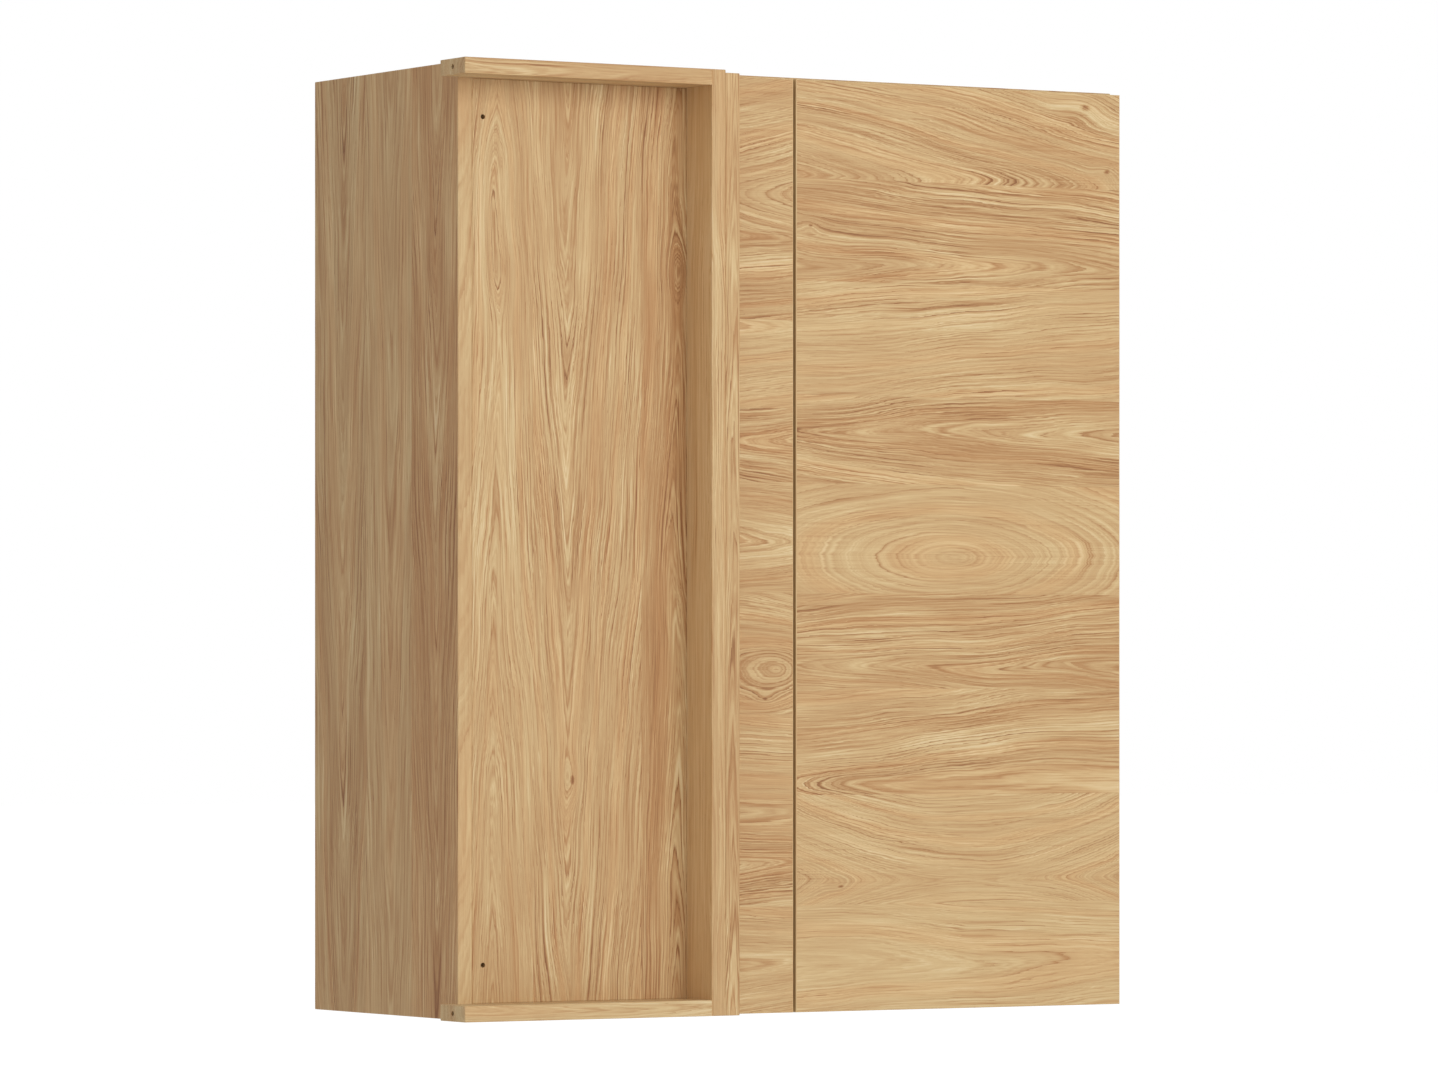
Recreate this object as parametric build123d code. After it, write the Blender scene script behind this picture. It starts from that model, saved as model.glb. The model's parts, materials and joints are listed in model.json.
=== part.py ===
"""Blind-corner hanging wall cabinet, 800 mm wide, 950 mm high and 350 mm deep.

The x axis runs to the right, y towards the wall and z up.  The origin lies in the wall plane, under
the middle of the case.  Sizes are millimetres.  Each sub-part becomes one STEP file in parts/.
"""

import os

from build123d import *

# Case
BOARD = 16.0                     # case board thickness
CASE_WIDTH = 780.0
CASE_HEIGHT = 950.0
CASE_DEPTH = 300.0
EASE = 0.5                       # eased board edges
CASE_X = CASE_WIDTH / 2
INNER_X = CASE_X - BOARD
INNER_TOP = CASE_HEIGHT - BOARD
CASE_FRONT = -CASE_DEPTH

# Play between fitted pieces
CLOSE_FIT = 0.05
LOOSE_FIT = 0.1
BORE_SPARE = 0.5                 # blind bores run this far past a screw's tip

# Screws: (shank radius, length, head radius, head height)
PANEL_SCREW = (2.0, 30.0, 4.0, 1.9)
CUP_SCREW = (1.7, 13.0, 3.5, 1.8)
PLATE_SCREW = (3.0, 13.0, 4.2, 1.8)
ADJUSTING_SCREW = (1.9, 9.0, 3.4, 1.6)
HANGER_SCREW = (1.75, 14.0, 3.2, 1.6)
HANGER_ADJUSTER = (2.0, 12.0, 3.6, 1.8)
LATCH_SCREW = (1.65, 12.0, 3.0, 1.5)
RECESS_ARMS = (1.2, 0.25)        # length and width of the cross recess, per head radius

# Hardboard back
BACK_THICK = 3.0
BACK_FRONT = -21.0
BACK_ENTRY = 7.0                 # how far the back runs into its grooves
GROOVE_DEPTH = 8.0
GROOVE_PLAY = 0.2
BACK_CUTOUT = 24.0               # corner cut-outs behind the hangers, for their hooks
BACK_SILL = 4.0                  # their lower edge above the hanger's underside

# Fixed blind panel
BLIND_RIGHT = 6.0
BLIND_MID_Y = CASE_FRONT + BOARD / 2
PILOT_RADIUS = 2.5               # pilot holes for a neighbouring filler
PILOT_X = -361.6
PILOT_Z = (54.0, 896.0)

# Spacer frame in front of the blind panel
FRAME_DEPTH = 50.0
FRAME_OVERHANG = 20.0
POST_LEFT = -126.0
POST_RIGHT = POST_LEFT + BOARD
STRIP_RIGHT = -93.5
END_HOLE_DEPTH = 30.0
FRAME_FRONT = CASE_FRONT - FRAME_DEPTH
FRAME_LEFT = -CASE_X - FRAME_OVERHANG

# Door and filler, both of 18 mm front board
FRONT_THICK = 18.0
FRONT_GAP = 2.0                  # air gap between the case and the fronts
FRONT_HEIGHT = 947.0
BAND = 1.0                       # edge band thickness
BAND_ROUND = 0.8
FILLER_RIGHT = -11.5
DOOR_LEFT = -8.5
DOOR_RIGHT = 388.5
FRONT_BACK_Y = CASE_FRONT - FRONT_GAP
FRONT_FACE_Y = FRONT_BACK_Y - FRONT_THICK

# Shelves and their pins
SHELF_UNDERSIDES = {"lower": 312.0, "upper": 624.0}
SHELF_SIDE_PLAY = 1.5
SHELF_FRONT = -280.0
SHELF_REAR = -24.0
PIN_COLUMNS = (-263.0, -64.0)
PIN_RADIUS = 2.45
PIN_HOLE_RADIUS = 2.5
PIN_HOLE_DEPTH = 11.0
PIN_ENTRY = 9.0
PIN_DROP = 3.0                   # pin axis below the shelf
PIN_COLLAR_RADIUS = 4.2
PIN_COLLAR = 1.4
PIN_TONGUE = (8.6, 8.0, 2.2)
PIN_PITCH = 32.0
PIN_STEPS = (-2, -1, 0, 1, 2)

# Cam fittings
CAM_ROWS = (-250.0, -50.0)
CAM_INSET = 34.0                 # cam centre from the board's end
CAM_RADIUS = 7.4
CAM_POCKET_RADIUS = 7.5
CAM_HEIGHT = 12.0
CAM_AXIS_HEIGHT = 4.0            # bolt axis above the pocket floor
CAM_MOUTH_RADIUS = 3.8
CAM_RECESS = (CAM_RADIUS, 1.7, 2.0)
BOLT_BORE_RADIUS = 4.0
BOLT_THREAD_RADIUS = 2.9
BOLT_THREAD = 11.0
BOLT_SHANK = (2.6, 28.0)
BOLT_NECK = (1.7, 3.4)
BOLT_HEAD = (3.2, 2.4)
CAP_RADIUS = 8.6
CAP_HEIGHT = 1.0

# Dowels
DOWEL_RADIUS = 4.0
DOWEL_HOLE_RADIUS = 4.05
DOWEL_LENGTH = 30.0
DOWEL_SHORT = 10.0
DOWEL_LONG = DOWEL_LENGTH - DOWEL_SHORT
DOWEL_PLAY = 0.5
CASE_DOWEL_ROWS = (-200.0, -100.0)
BLIND_SIDE_DOWELS = (150.0, 475.0, 800.0)
BLIND_END_DOWELS = (-280.0, -90.0)
RAIL_CASE_DOWELS = (-330.0, -210.0)
RAIL_POST_DOWELS = (CASE_FRONT - 12.0, CASE_FRONT - 38.0)

# Screws driven forwards through the blind panel: (x, heights) for each piece they hold
PANEL_SCREW_HOLE = 2.3
PANEL_PILOT_SPARE = 1.0
POST_SCREWS = ((POST_LEFT + POST_RIGHT) / 2, (120.0, 475.0, 830.0))
STRIP_SCREWS = ((POST_RIGHT + STRIP_RIGHT) / 2, (200.0, 520.0, 760.0))
FILLER_SCREWS = ((-74.0, (90.0, 857.0)), (-31.0, (90.0, 857.0)))
SPACER_RADIUS = 6.0

# Concealed hinges; plan positions are (x, t) with t the distance in front of the case
HINGE_Z = {"lower": 100.0, "middle": 475.0, "upper": 850.0}
CUP_X = 366.0
CUP_RADIUS = 17.5
CUP_WALL = 0.8
CUP_DEPTH = 11.5
CUP_FLANGE = 1.0
CUP_RIM_RADIUS = 19.0
CUP_WING = (14.0, 60.0)
CUP_SCREW_X = 360.0
CUP_SCREW_Z = 24.0
EAR_INNER = 6.2
EAR_OUTER = 7.4
EAR_HALF = 2.6
LINK_PIVOT = (378.5, 6.1)        # pin in the cup
LINK_MIDDLE = (366.5, 10.2)
LINK_TAIL = (357.6, 6.6)
LINK_THICK = 1.8
LINK_HALF_WIDTH = 5.0
LINK_EYE_RADIUS = 2.6
LINK_PIN_RADIUS = 1.2
LINK_HOLE_RADIUS = 1.25
ARM_HALF_WIDTH = 6.5
ARM_SHEET = 1.2
ARM_TOP_X = 359.0                # outer face of the arm's web
ARM_NOSE_X = 351.2
ARM_REAR_T = -62.0
ARM_OPEN_X = 370.5
ARM_SLANT = (-14.0, -3.0)        # the web slants inwards between these positions
ARM_WAIST = ((361.5, 2.0), (ARM_OPEN_X, -12.0))
NOSE_BACK_X = 360.5
NOSE_T = 10.6
NOSE_RIVET = (354.2, 7.0)
RIVET_RADIUS = 1.35
RIVET_HOLE_RADIUS = 1.4
RIVET_HEAD = (2.2, 0.5)
PLATE_Y = -263.0                 # system-hole line, 37 mm behind the case front
PLATE_THICK = 2.0
PLATE_SIZE = (20.0, 48.0)
PLATE_SCREW_Z = 16.0
RIDGE_X = 363.0
RIDGE_HALF_WIDTH = 5.0
RIDGE_Y = (-285.0, -243.0)
ADJUST_Y = (-278.0, -250.0)
ADJUST_BORE = 6.0                # threaded bores in the ridge

# Wall hangers in the top rear corners; x values are for the right-hand one
SIDES = {"left": -1, "right": 1}
HANGER_WALL = 2.0
HANGER_INNER_X = 346.0
HANGER_FRONT = -66.0
HANGER_REAR = -21.6
HANGER_BOTTOM = 880.0
HANGER_TOP = 932.0
HANGER_SCREW_Y = -44.0
HANGER_SCREW_INSET = 6.5
HANGER_ADJUST_X = (353.0, 367.0)
CARRIER_HALF_WIDTH = 9.0
CARRIER_Y = (-50.0, -28.0)
CARRIER_Z = (896.0, 916.0)
HOOK_X = 360.0
HOOK_THICK = 2.4
HOOK_PLAY = 0.2
HOOK_Y = (-48.0, -2.0)
HOOK_Z = (900.0, 912.0)
TOOTH_FRONT = -7.0
TOOTH_BOTTOM = 886.0

# Push latch under the top panel, near the door's free edge
LATCH_X = 40.0
LATCH_Z = 925.0
LATCH_FRONT = -299.0
LATCH_REAR = -236.0
LATCH_HALF_WIDTH = 10.0
LATCH_BOTTOM = 917.5
LATCH_EAR = (18.0, 12.0, 3.0)
LATCH_SCREW_Y = -256.0
LATCH_SCREW_X = 14.0
PLUNGER_RADIUS = 4.0
PLUNGER_Y = (-300.9, -256.0)
MAGNET_RADIUS = 3.0
MAGNET_THICK = 1.6
SPRING_RADIUS = 3.0
SPRING_WIRE = 0.35
SPRING_PITCH = 3.2
SPRING_Y = (-255.4, -239.4)
STRIKE_RADIUS = 7.0
STRIKE_THICK = 1.0

# Door bumpers: (x, z) on the front of the case
BUMPERS = ((-1.0, 40.0), (-1.0, 907.0), (70.0, 8.0), (70.0, 940.0))
BUMPER_RADIUS = 4.0
BUMPER_THICK = 1.9

os.makedirs("parts", exist_ok=True)


# Shared shapes
def write(name, *shapes):
    """Export one node; several shapes stay separate solids."""
    solids = [solid for shape in shapes for solid in shape.solids()]
    export_step(solids[0] if len(solids) == 1 else Compound(solids), f"parts/{name}.step")


def span(x_limits, y_limits, z_limits):
    """Block between two limits along each axis, given in either order."""
    low = [min(limits) for limits in (x_limits, y_limits, z_limits)]
    size = [abs(limits[1] - limits[0]) for limits in (x_limits, y_limits, z_limits)]
    return Pos(*low) * Box(*size, align=(Align.MIN, Align.MIN, Align.MIN))


def board(x_limits, y_limits, z_limits):
    """Panel with eased edges, left square where it meets the wall plane."""
    block = span(x_limits, y_limits, z_limits)
    return chamfer([edge for edge in block.edges() if edge.center().Y < -EASE], EASE)


def rod(start, direction, radius, length):
    """Cylinder from a point along a direction."""
    plane = Plane(origin=start, z_dir=direction)
    return plane * Cylinder(radius, length, align=(Align.CENTER, Align.CENTER, Align.MIN))


def turned(start, direction, *steps):
    """Turned piece of (radius, length) steps, one after another along a direction."""
    piece = Part()
    point = Vector(*start)
    for radius, length in steps:
        piece += rod(point, direction, radius, length)
        point += Vector(*direction) * length
    return piece


def screw(seat, direction, sizes):
    """Cross-recess screw whose head sits on the seat point."""
    shank_radius, length, head_radius, head_height = sizes
    crown = Vector(*seat) - Vector(*direction) * head_height
    piece = turned(crown, direction, (head_radius, head_height), (shank_radius, length))
    recess = Plane(origin=crown, z_dir=direction)
    arm_length, arm_width = [head_radius * share for share in RECESS_ARMS]
    for angle in (0, 90):
        piece -= recess * Rot(0, 0, angle) * Box(arm_length, arm_width, head_height)
    return piece


def screw_hole(mouth, direction, sizes, cover):
    """Pilot bore under a cover of some thickness that the screw passes first."""
    shank_radius, length = sizes[:2]
    return rod(mouth, direction, shank_radius + CLOSE_FIT, length - cover + BORE_SPARE)


def dowel_hole(mouth, direction, depth):
    return rod(mouth, direction, DOWEL_HOLE_RADIUS, depth + DOWEL_PLAY)


def dowel(mouth, direction):
    """Dowel across a joint; its short end points along the direction."""
    start = Vector(*mouth) - Vector(*direction) * DOWEL_LONG
    pin = rod(start, direction, DOWEL_RADIUS, DOWEL_LENGTH)
    return chamfer(pin.edges().filter_by(GeomType.CIRCLE), 2 * EASE)


def space(position, z):
    """Space point of a plan position."""
    x, t = position
    return (x, CASE_FRONT - t, z)


def prism(outline, z_limits):
    """Upright prism over a closed outline of plan positions."""
    face = make_face(Polyline(*[space(position, z_limits[0]) for position in outline], close=True))
    return extrude(face, amount=z_limits[1] - z_limits[0], dir=(0, 0, 1))


# Where the fittings sit
def panel_screws():
    """(x, z) of every screw driven through the blind panel."""
    for x, heights in (POST_SCREWS, STRIP_SCREWS, *FILLER_SCREWS):
        for z in heights:
            yield x, z


def cam_places():
    """(side, y, pocket floor) of every cam fitting."""
    for floor in (BOARD - CAM_HEIGHT, CASE_HEIGHT - CAM_HEIGHT):
        for side in SIDES.values():
            for y in CAM_ROWS:
                yield side, y, floor


def hanger_screw_heights():
    return (HANGER_BOTTOM + HANGER_SCREW_INSET, HANGER_TOP - HANGER_SCREW_INSET)


def pin_places(level):
    """(side, y, z) of the four pins under one shelf."""
    for side in SIDES.values():
        for y in PIN_COLUMNS:
            yield side, y, SHELF_UNDERSIDES[level] - PIN_DROP


# Case
def side_panel(side):
    panel = board((side * INNER_X, side * CASE_X), (CASE_FRONT, 0), (0, CASE_HEIGHT))
    outward = (side, 0, 0)
    groove = (BACK_FRONT - GROOVE_PLAY, BACK_FRONT + BACK_THICK + GROOVE_PLAY)
    panel -= span((side * INNER_X, side * (INNER_X + GROOVE_DEPTH)), groove, (0, CASE_HEIGHT))
    for z in (BOARD / 2, CASE_HEIGHT - BOARD / 2):
        for y in CASE_DOWEL_ROWS:
            panel -= dowel_hole((side * INNER_X, y, z), outward, DOWEL_SHORT)
    for place_side, y, floor in cam_places():
        if place_side == side:
            start = (side * INNER_X, y, floor + CAM_AXIS_HEIGHT)
            panel -= rod(start, outward, BOLT_THREAD_RADIUS + CLOSE_FIT, BOLT_THREAD + DOWEL_PLAY)
    for level in SHELF_UNDERSIDES:
        for place_side, y, z in pin_places(level):
            for step in PIN_STEPS:
                if place_side == side:
                    start = (side * INNER_X, y, z + step * PIN_PITCH)
                    panel -= rod(start, outward, PIN_HOLE_RADIUS, PIN_HOLE_DEPTH)
    for z in hanger_screw_heights():
        panel -= screw_hole((side * INNER_X, HANGER_SCREW_Y, z), outward, HANGER_SCREW, HANGER_WALL)
    return panel


def hinged_side_panel():
    """Right side panel, also bored for the hinge plates."""
    panel = side_panel(1)
    for z in HINGE_Z.values():
        for offset in (-PLATE_SCREW_Z, PLATE_SCREW_Z):
            start = (INNER_X, PLATE_Y, z + offset)
            panel -= screw_hole(start, (1, 0, 0), PLATE_SCREW, PLATE_THICK)
    return panel


def blind_side_panel():
    """Left side panel, also bored for the blind panel's dowels."""
    panel = side_panel(-1)
    for z in BLIND_SIDE_DOWELS:
        panel -= dowel_hole((-INNER_X, BLIND_MID_Y, z), (-1, 0, 0), DOWEL_SHORT)
    return panel


def level_panel(base, inward):
    """Top or bottom panel from its lower face; inward is +1 for the bottom and -1 for the top."""
    middle = base + BOARD / 2
    inner_face = middle + inward * BOARD / 2
    panel = board((-INNER_X, INNER_X), (CASE_FRONT, 0), (base, base + BOARD))
    groove = (BACK_FRONT - GROOVE_PLAY, BACK_FRONT + BACK_THICK + GROOVE_PLAY)
    panel -= span((-INNER_X, INNER_X), groove, (inner_face, inner_face - inward * GROOVE_DEPTH))
    for side, y, floor in cam_places():
        if base < floor < base + BOARD:
            axis_z = floor + CAM_AXIS_HEIGHT
            panel -= rod((side * INNER_X, y, axis_z), (-side, 0, 0), BOLT_BORE_RADIUS, CAM_INSET)
            panel -= rod((side * (INNER_X - CAM_INSET), y, floor), (0, 0, 1), CAM_POCKET_RADIUS, BOARD)
    for side in SIDES.values():
        for y in CASE_DOWEL_ROWS:
            panel -= dowel_hole((side * INNER_X, y, middle), (-side, 0, 0), DOWEL_LONG)
    for x in BLIND_END_DOWELS:
        panel -= dowel_hole((x, BLIND_MID_Y, inner_face), (0, 0, -inward), DOWEL_SHORT)
    for x in RAIL_CASE_DOWELS:
        panel -= dowel_hole((x, CASE_FRONT, middle), (0, 1, 0), DOWEL_SHORT)
    return panel


def latch_screw_places():
    return [(LATCH_X + offset, LATCH_SCREW_Y) for offset in (-LATCH_SCREW_X, LATCH_SCREW_X)]


def top_panel():
    panel = level_panel(INNER_TOP, -1)
    for x, y in latch_screw_places():
        panel -= screw_hole((x, y, INNER_TOP), (0, 0, 1), LATCH_SCREW, LATCH_EAR[2])
    return panel


def back_panel():
    reach = INNER_X + BACK_ENTRY
    thickness = (BACK_FRONT, BACK_FRONT + BACK_THICK)
    top = INNER_TOP + BACK_ENTRY
    panel = span((-reach, reach), thickness, (BOARD - BACK_ENTRY, top))
    for side in SIDES.values():
        panel -= span((side * (reach - BACK_CUTOUT), side * reach), thickness, (HANGER_BOTTOM + BACK_SILL, top))
    return panel


def blind_panel():
    panel = board((-INNER_X, BLIND_RIGHT), (CASE_FRONT, CASE_FRONT + BOARD), (BOARD, INNER_TOP))
    for z in PILOT_Z:
        panel -= rod((PILOT_X, CASE_FRONT, z), (0, 1, 0), PILOT_RADIUS, BOARD)
    for z in BLIND_SIDE_DOWELS:
        panel -= dowel_hole((-INNER_X, BLIND_MID_Y, z), (1, 0, 0), DOWEL_LONG)
    for x in BLIND_END_DOWELS:
        panel -= dowel_hole((x, BLIND_MID_Y, BOARD), (0, 0, 1), DOWEL_LONG)
        panel -= dowel_hole((x, BLIND_MID_Y, INNER_TOP), (0, 0, -1), DOWEL_LONG)
    for x, z in panel_screws():
        panel -= rod((x, CASE_FRONT, z), (0, 1, 0), PANEL_SCREW_HOLE, BOARD)
    return panel


write("side_panel_left", blind_side_panel())
write("side_panel_right", hinged_side_panel())
write("bottom_panel", level_panel(0, 1))
write("top_panel", top_panel())
write("back_panel", back_panel())
write("blind_panel", blind_panel())


# Spacer frame
def frame_rail(base):
    """Rail laid flat against the case front; its left end stands clear of the case."""
    middle = base + BOARD / 2
    rail = board((FRAME_LEFT, POST_LEFT), (FRAME_FRONT, CASE_FRONT), (base, base + BOARD))
    end_middle = (FRAME_LEFT, CASE_FRONT - FRAME_DEPTH / 2, middle)
    rail -= rod(end_middle, (1, 0, 0), PILOT_RADIUS, END_HOLE_DEPTH)
    for x in RAIL_CASE_DOWELS:
        rail -= dowel_hole((x, CASE_FRONT, middle), (0, -1, 0), DOWEL_LONG)
    for y in RAIL_POST_DOWELS:
        rail -= dowel_hole((POST_LEFT, y, middle), (-1, 0, 0), DOWEL_LONG)
    return rail


def pilot_bored(piece, x, heights, rear=CASE_FRONT):
    """Bore pilots for the blind panel's screws into a piece's rear face."""
    shank_radius, length = PANEL_SCREW[:2]
    reach = length - BOARD - (CASE_FRONT - rear) + PANEL_PILOT_SPARE
    for z in heights:
        piece -= rod((x, rear, z), (0, -1, 0), shank_radius + CLOSE_FIT, reach)
    return piece


def frame_post():
    post = board((POST_LEFT, POST_RIGHT), (FRAME_FRONT, CASE_FRONT), (0, CASE_HEIGHT))
    for z in (BOARD / 2, CASE_HEIGHT - BOARD / 2):
        for y in RAIL_POST_DOWELS:
            post -= dowel_hole((POST_LEFT, y, z), (1, 0, 0), DOWEL_SHORT)
    return pilot_bored(post, *POST_SCREWS)


def filler_strip():
    strip = board((POST_RIGHT, STRIP_RIGHT), (FRAME_FRONT, CASE_FRONT), (0, FRONT_HEIGHT))
    return pilot_bored(strip, *STRIP_SCREWS)


write("frame_rail_bottom", frame_rail(0))
write("frame_rail_top", frame_rail(INNER_TOP))
write("frame_post", frame_post())
write("filler_strip", filler_strip())


# Fronts
def front_core(x_limits):
    """Board core of a front, inside its edge bands."""
    left, right = x_limits
    core_z = (BAND, FRONT_HEIGHT - BAND)
    return span((left + BAND, right - BAND), (FRONT_FACE_Y, FRONT_BACK_Y), core_z)


def edge_bands(x_limits):
    """Four bands round a front; the upright ones run the full height."""
    left, right = x_limits
    thickness = (FRONT_FACE_Y, FRONT_BACK_Y)
    for outer, inner in ((left, left + BAND), (right, right - BAND)):
        band = span((outer, inner), thickness, (0, FRONT_HEIGHT))
        long_edges = band.edges().filter_by(Axis.Z)
        yield fillet([edge for edge in long_edges if abs(edge.center().X - outer) < EASE], BAND_ROUND)
    for outer, inner in ((0, BAND), (FRONT_HEIGHT, FRONT_HEIGHT - BAND)):
        band = span((left + BAND, right - BAND), thickness, (outer, inner))
        long_edges = band.edges().filter_by(Axis.X)
        yield fillet([edge for edge in long_edges if abs(edge.center().Z - outer) < EASE], BAND_ROUND)


def door_panel():
    panel = front_core((DOOR_LEFT, DOOR_RIGHT))
    for z in HINGE_Z.values():
        mouth = (CUP_X, FRONT_BACK_Y, z)
        panel -= rod(mouth, (0, -1, 0), CUP_RADIUS + LOOSE_FIT, CUP_DEPTH + LOOSE_FIT)
        for offset in (-CUP_SCREW_Z, CUP_SCREW_Z):
            panel -= screw_hole((CUP_SCREW_X, FRONT_BACK_Y, z + offset), (0, -1, 0), CUP_SCREW, CUP_FLANGE)
    return panel


def filler_panel():
    panel = front_core((STRIP_RIGHT, FILLER_RIGHT))
    for x, heights in FILLER_SCREWS:
        panel = pilot_bored(panel, x, heights, FRONT_BACK_Y)
    return panel


def filler_spacer(x, z):
    """Ring that carries the filler across the air gap."""
    ring = rod((x, CASE_FRONT, z), (0, -1, 0), SPACER_RADIUS, FRONT_GAP)
    return ring - rod((x, CASE_FRONT, z), (0, -1, 0), PANEL_SCREW_HOLE, FRONT_GAP)


write("door_panel", door_panel())
write("door_edge_bands", *edge_bands((DOOR_LEFT, DOOR_RIGHT)))
write("filler_panel", filler_panel())
write("filler_edge_bands", *edge_bands((STRIP_RIGHT, FILLER_RIGHT)))
write("filler_spacers", *[filler_spacer(x, z) for x, heights in FILLER_SCREWS for z in heights])


# Shelves
def shelf(level):
    underside = SHELF_UNDERSIDES[level]
    reach = INNER_X - SHELF_SIDE_PLAY
    return board((-reach, reach), (SHELF_FRONT, SHELF_REAR), (underside, underside + BOARD))


def shelf_pin(side, y, z):
    """Pin with a collar against the side panel and a flat tongue under the shelf."""
    inward = (-side, 0, 0)
    pin = rod((side * (INNER_X + PIN_ENTRY), y, z), inward, PIN_RADIUS, PIN_ENTRY + PIN_COLLAR)
    pin += rod((side * INNER_X, y, z), inward, PIN_COLLAR_RADIUS, PIN_COLLAR)
    length, width, thickness = PIN_TONGUE
    root = side * (INNER_X - PIN_COLLAR)
    tongue_top = z + PIN_DROP
    x_limits = (root + side * PIN_COLLAR / 2, root - side * length)
    tongue = span(x_limits, (y - width / 2, y + width / 2), (tongue_top - thickness, tongue_top))
    tips = [edge for edge in tongue.edges().filter_by(Axis.Z) if abs(edge.center().X) < abs(root) - length / 2]
    return pin + fillet(tips, width / 2 - CLOSE_FIT)


for level in SHELF_UNDERSIDES:
    write(f"shelf_{level}", shelf(level))
    write(f"shelf_pins_{level}", *[shelf_pin(*place) for place in pin_places(level)])


# Joinery
def cam_disc(side, y, floor):
    """Disc with a mouth for the bolt head and a cross recess."""
    x = side * (INNER_X - CAM_INSET)
    disc = rod((x, y, floor), (0, 0, 1), CAM_RADIUS, CAM_HEIGHT)
    mouth = (x - side * BOLT_HEAD[1], y, floor + CAM_AXIS_HEIGHT)
    disc -= rod(mouth, (side, 0, 0), CAM_MOUTH_RADIUS, 2 * CAM_RADIUS)
    length, width, depth = CAM_RECESS
    for angle in (0, 90):
        disc -= Pos(x, y, floor + CAM_HEIGHT) * Rot(0, 0, angle) * Box(length, width, 2 * depth)
    return disc


def cam_bolt(side, y, floor):
    """Bolt from the side panel into the cam's mouth."""
    start = (side * (INNER_X + BOLT_THREAD), y, floor + CAM_AXIS_HEIGHT)
    return turned(start, (-side, 0, 0), (BOLT_THREAD_RADIUS, BOLT_THREAD), BOLT_SHANK, BOLT_NECK, BOLT_HEAD)


def cam_cap(side, y):
    """Cap over a cam in the bottom panel's upper face."""
    return rod((side * (INNER_X - CAM_INSET), y, BOARD), (0, 0, 1), CAP_RADIUS, CAP_HEIGHT)


def case_dowels():
    for z in (BOARD / 2, CASE_HEIGHT - BOARD / 2):
        for side in SIDES.values():
            for y in CASE_DOWEL_ROWS:
                yield dowel((side * INNER_X, y, z), (side, 0, 0))


def blind_dowels():
    for z in BLIND_SIDE_DOWELS:
        yield dowel((-INNER_X, BLIND_MID_Y, z), (-1, 0, 0))
    for x in BLIND_END_DOWELS:
        yield dowel((x, BLIND_MID_Y, BOARD), (0, 0, -1))
        yield dowel((x, BLIND_MID_Y, INNER_TOP), (0, 0, 1))


def frame_dowels():
    for z in (BOARD / 2, CASE_HEIGHT - BOARD / 2):
        for x in RAIL_CASE_DOWELS:
            yield dowel((x, CASE_FRONT, z), (0, 1, 0))
        for y in RAIL_POST_DOWELS:
            yield dowel((POST_LEFT, y, z), (1, 0, 0))


def panel_screw(x, z):
    """Screw from inside the case through the blind panel."""
    return screw((x, CASE_FRONT + BOARD, z), (0, -1, 0), PANEL_SCREW)


write("cam_discs", *[cam_disc(*place) for place in cam_places()])
write("cam_bolts", *[cam_bolt(*place) for place in cam_places()])
write("cam_cover_caps", *[cam_cap(side, y) for side in SIDES.values() for y in CAM_ROWS])
write("case_dowels", *case_dowels())
write("blind_panel_dowels", *blind_dowels())
write("frame_dowels", *frame_dowels())
write("frame_screws", *[panel_screw(x, z) for x, heights in (POST_SCREWS, STRIP_SCREWS) for z in heights])
write("filler_screws", *[panel_screw(x, z) for x, heights in FILLER_SCREWS for z in heights])


# Hinges
def hinge_cup(z):
    """Pressed cup with a screw flange and two ears for the link's pin."""
    rear = FRONT_BACK_Y + CUP_FLANGE
    towards_case = (0, 1, 0)
    cup = rod((CUP_X, FRONT_BACK_Y - CUP_DEPTH, z), towards_case, CUP_RADIUS, CUP_DEPTH)
    cup += rod((CUP_X, FRONT_BACK_Y, z), towards_case, CUP_RIM_RADIUS, CUP_FLANGE)
    width, height = CUP_WING
    wing_x = (CUP_SCREW_X - width / 2, CUP_SCREW_X + width / 2)
    wing = span(wing_x, (FRONT_BACK_Y, rear), (z - height / 2, z + height / 2))
    cup += fillet(wing.edges().filter_by(Axis.Y), width / 2 - EASE)
    hollow = (CUP_X, FRONT_BACK_Y - CUP_DEPTH + CUP_WALL, z)
    cup -= rod(hollow, towards_case, CUP_RADIUS - CUP_WALL, CUP_DEPTH + CUP_FLANGE)
    pivot_x, pivot_y, _ = space(LINK_PIVOT, z)
    ear_y = (FRONT_BACK_Y - CUP_DEPTH + CUP_WALL / 2, pivot_y + EAR_HALF)
    for side in (-1, 1):
        ear = span((pivot_x - EAR_HALF, pivot_x + EAR_HALF), ear_y, (z + side * EAR_INNER, z + side * EAR_OUTER))
        cup += ear
        screw_seat = (CUP_SCREW_X, FRONT_BACK_Y, z + side * CUP_SCREW_Z)
        cup -= rod(screw_seat, towards_case, CUP_SCREW[0] + 2 * LOOSE_FIT, CUP_FLANGE)
    cup -= rod((pivot_x, pivot_y, z - EAR_OUTER), (0, 0, 1), LINK_HOLE_RADIUS, 2 * EAR_OUTER)
    return cup


def hinge_pin(z):
    x, y, _ = space(LINK_PIVOT, z)
    return rod((x, y, z - EAR_OUTER), (0, 0, 1), LINK_PIN_RADIUS, 2 * EAR_OUTER)


def hinge_link(z):
    """Bowed link: an eye on the cup's pin and a free tail inside the arm's nose."""
    base = z - LINK_HALF_WIDTH
    eye, middle, tail = [space(position, base) for position in (LINK_PIVOT, LINK_MIDDLE, LINK_TAIL)]
    strap = trace(ThreePointArc(eye, middle, tail), line_width=LINK_THICK)
    outline = strap + Pos(*eye) * Circle(LINK_EYE_RADIUS) - Pos(*eye) * Circle(LINK_HOLE_RADIUS)
    return extrude(outline, amount=2 * LINK_HALF_WIDTH, dir=(0, 0, 1))


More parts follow.
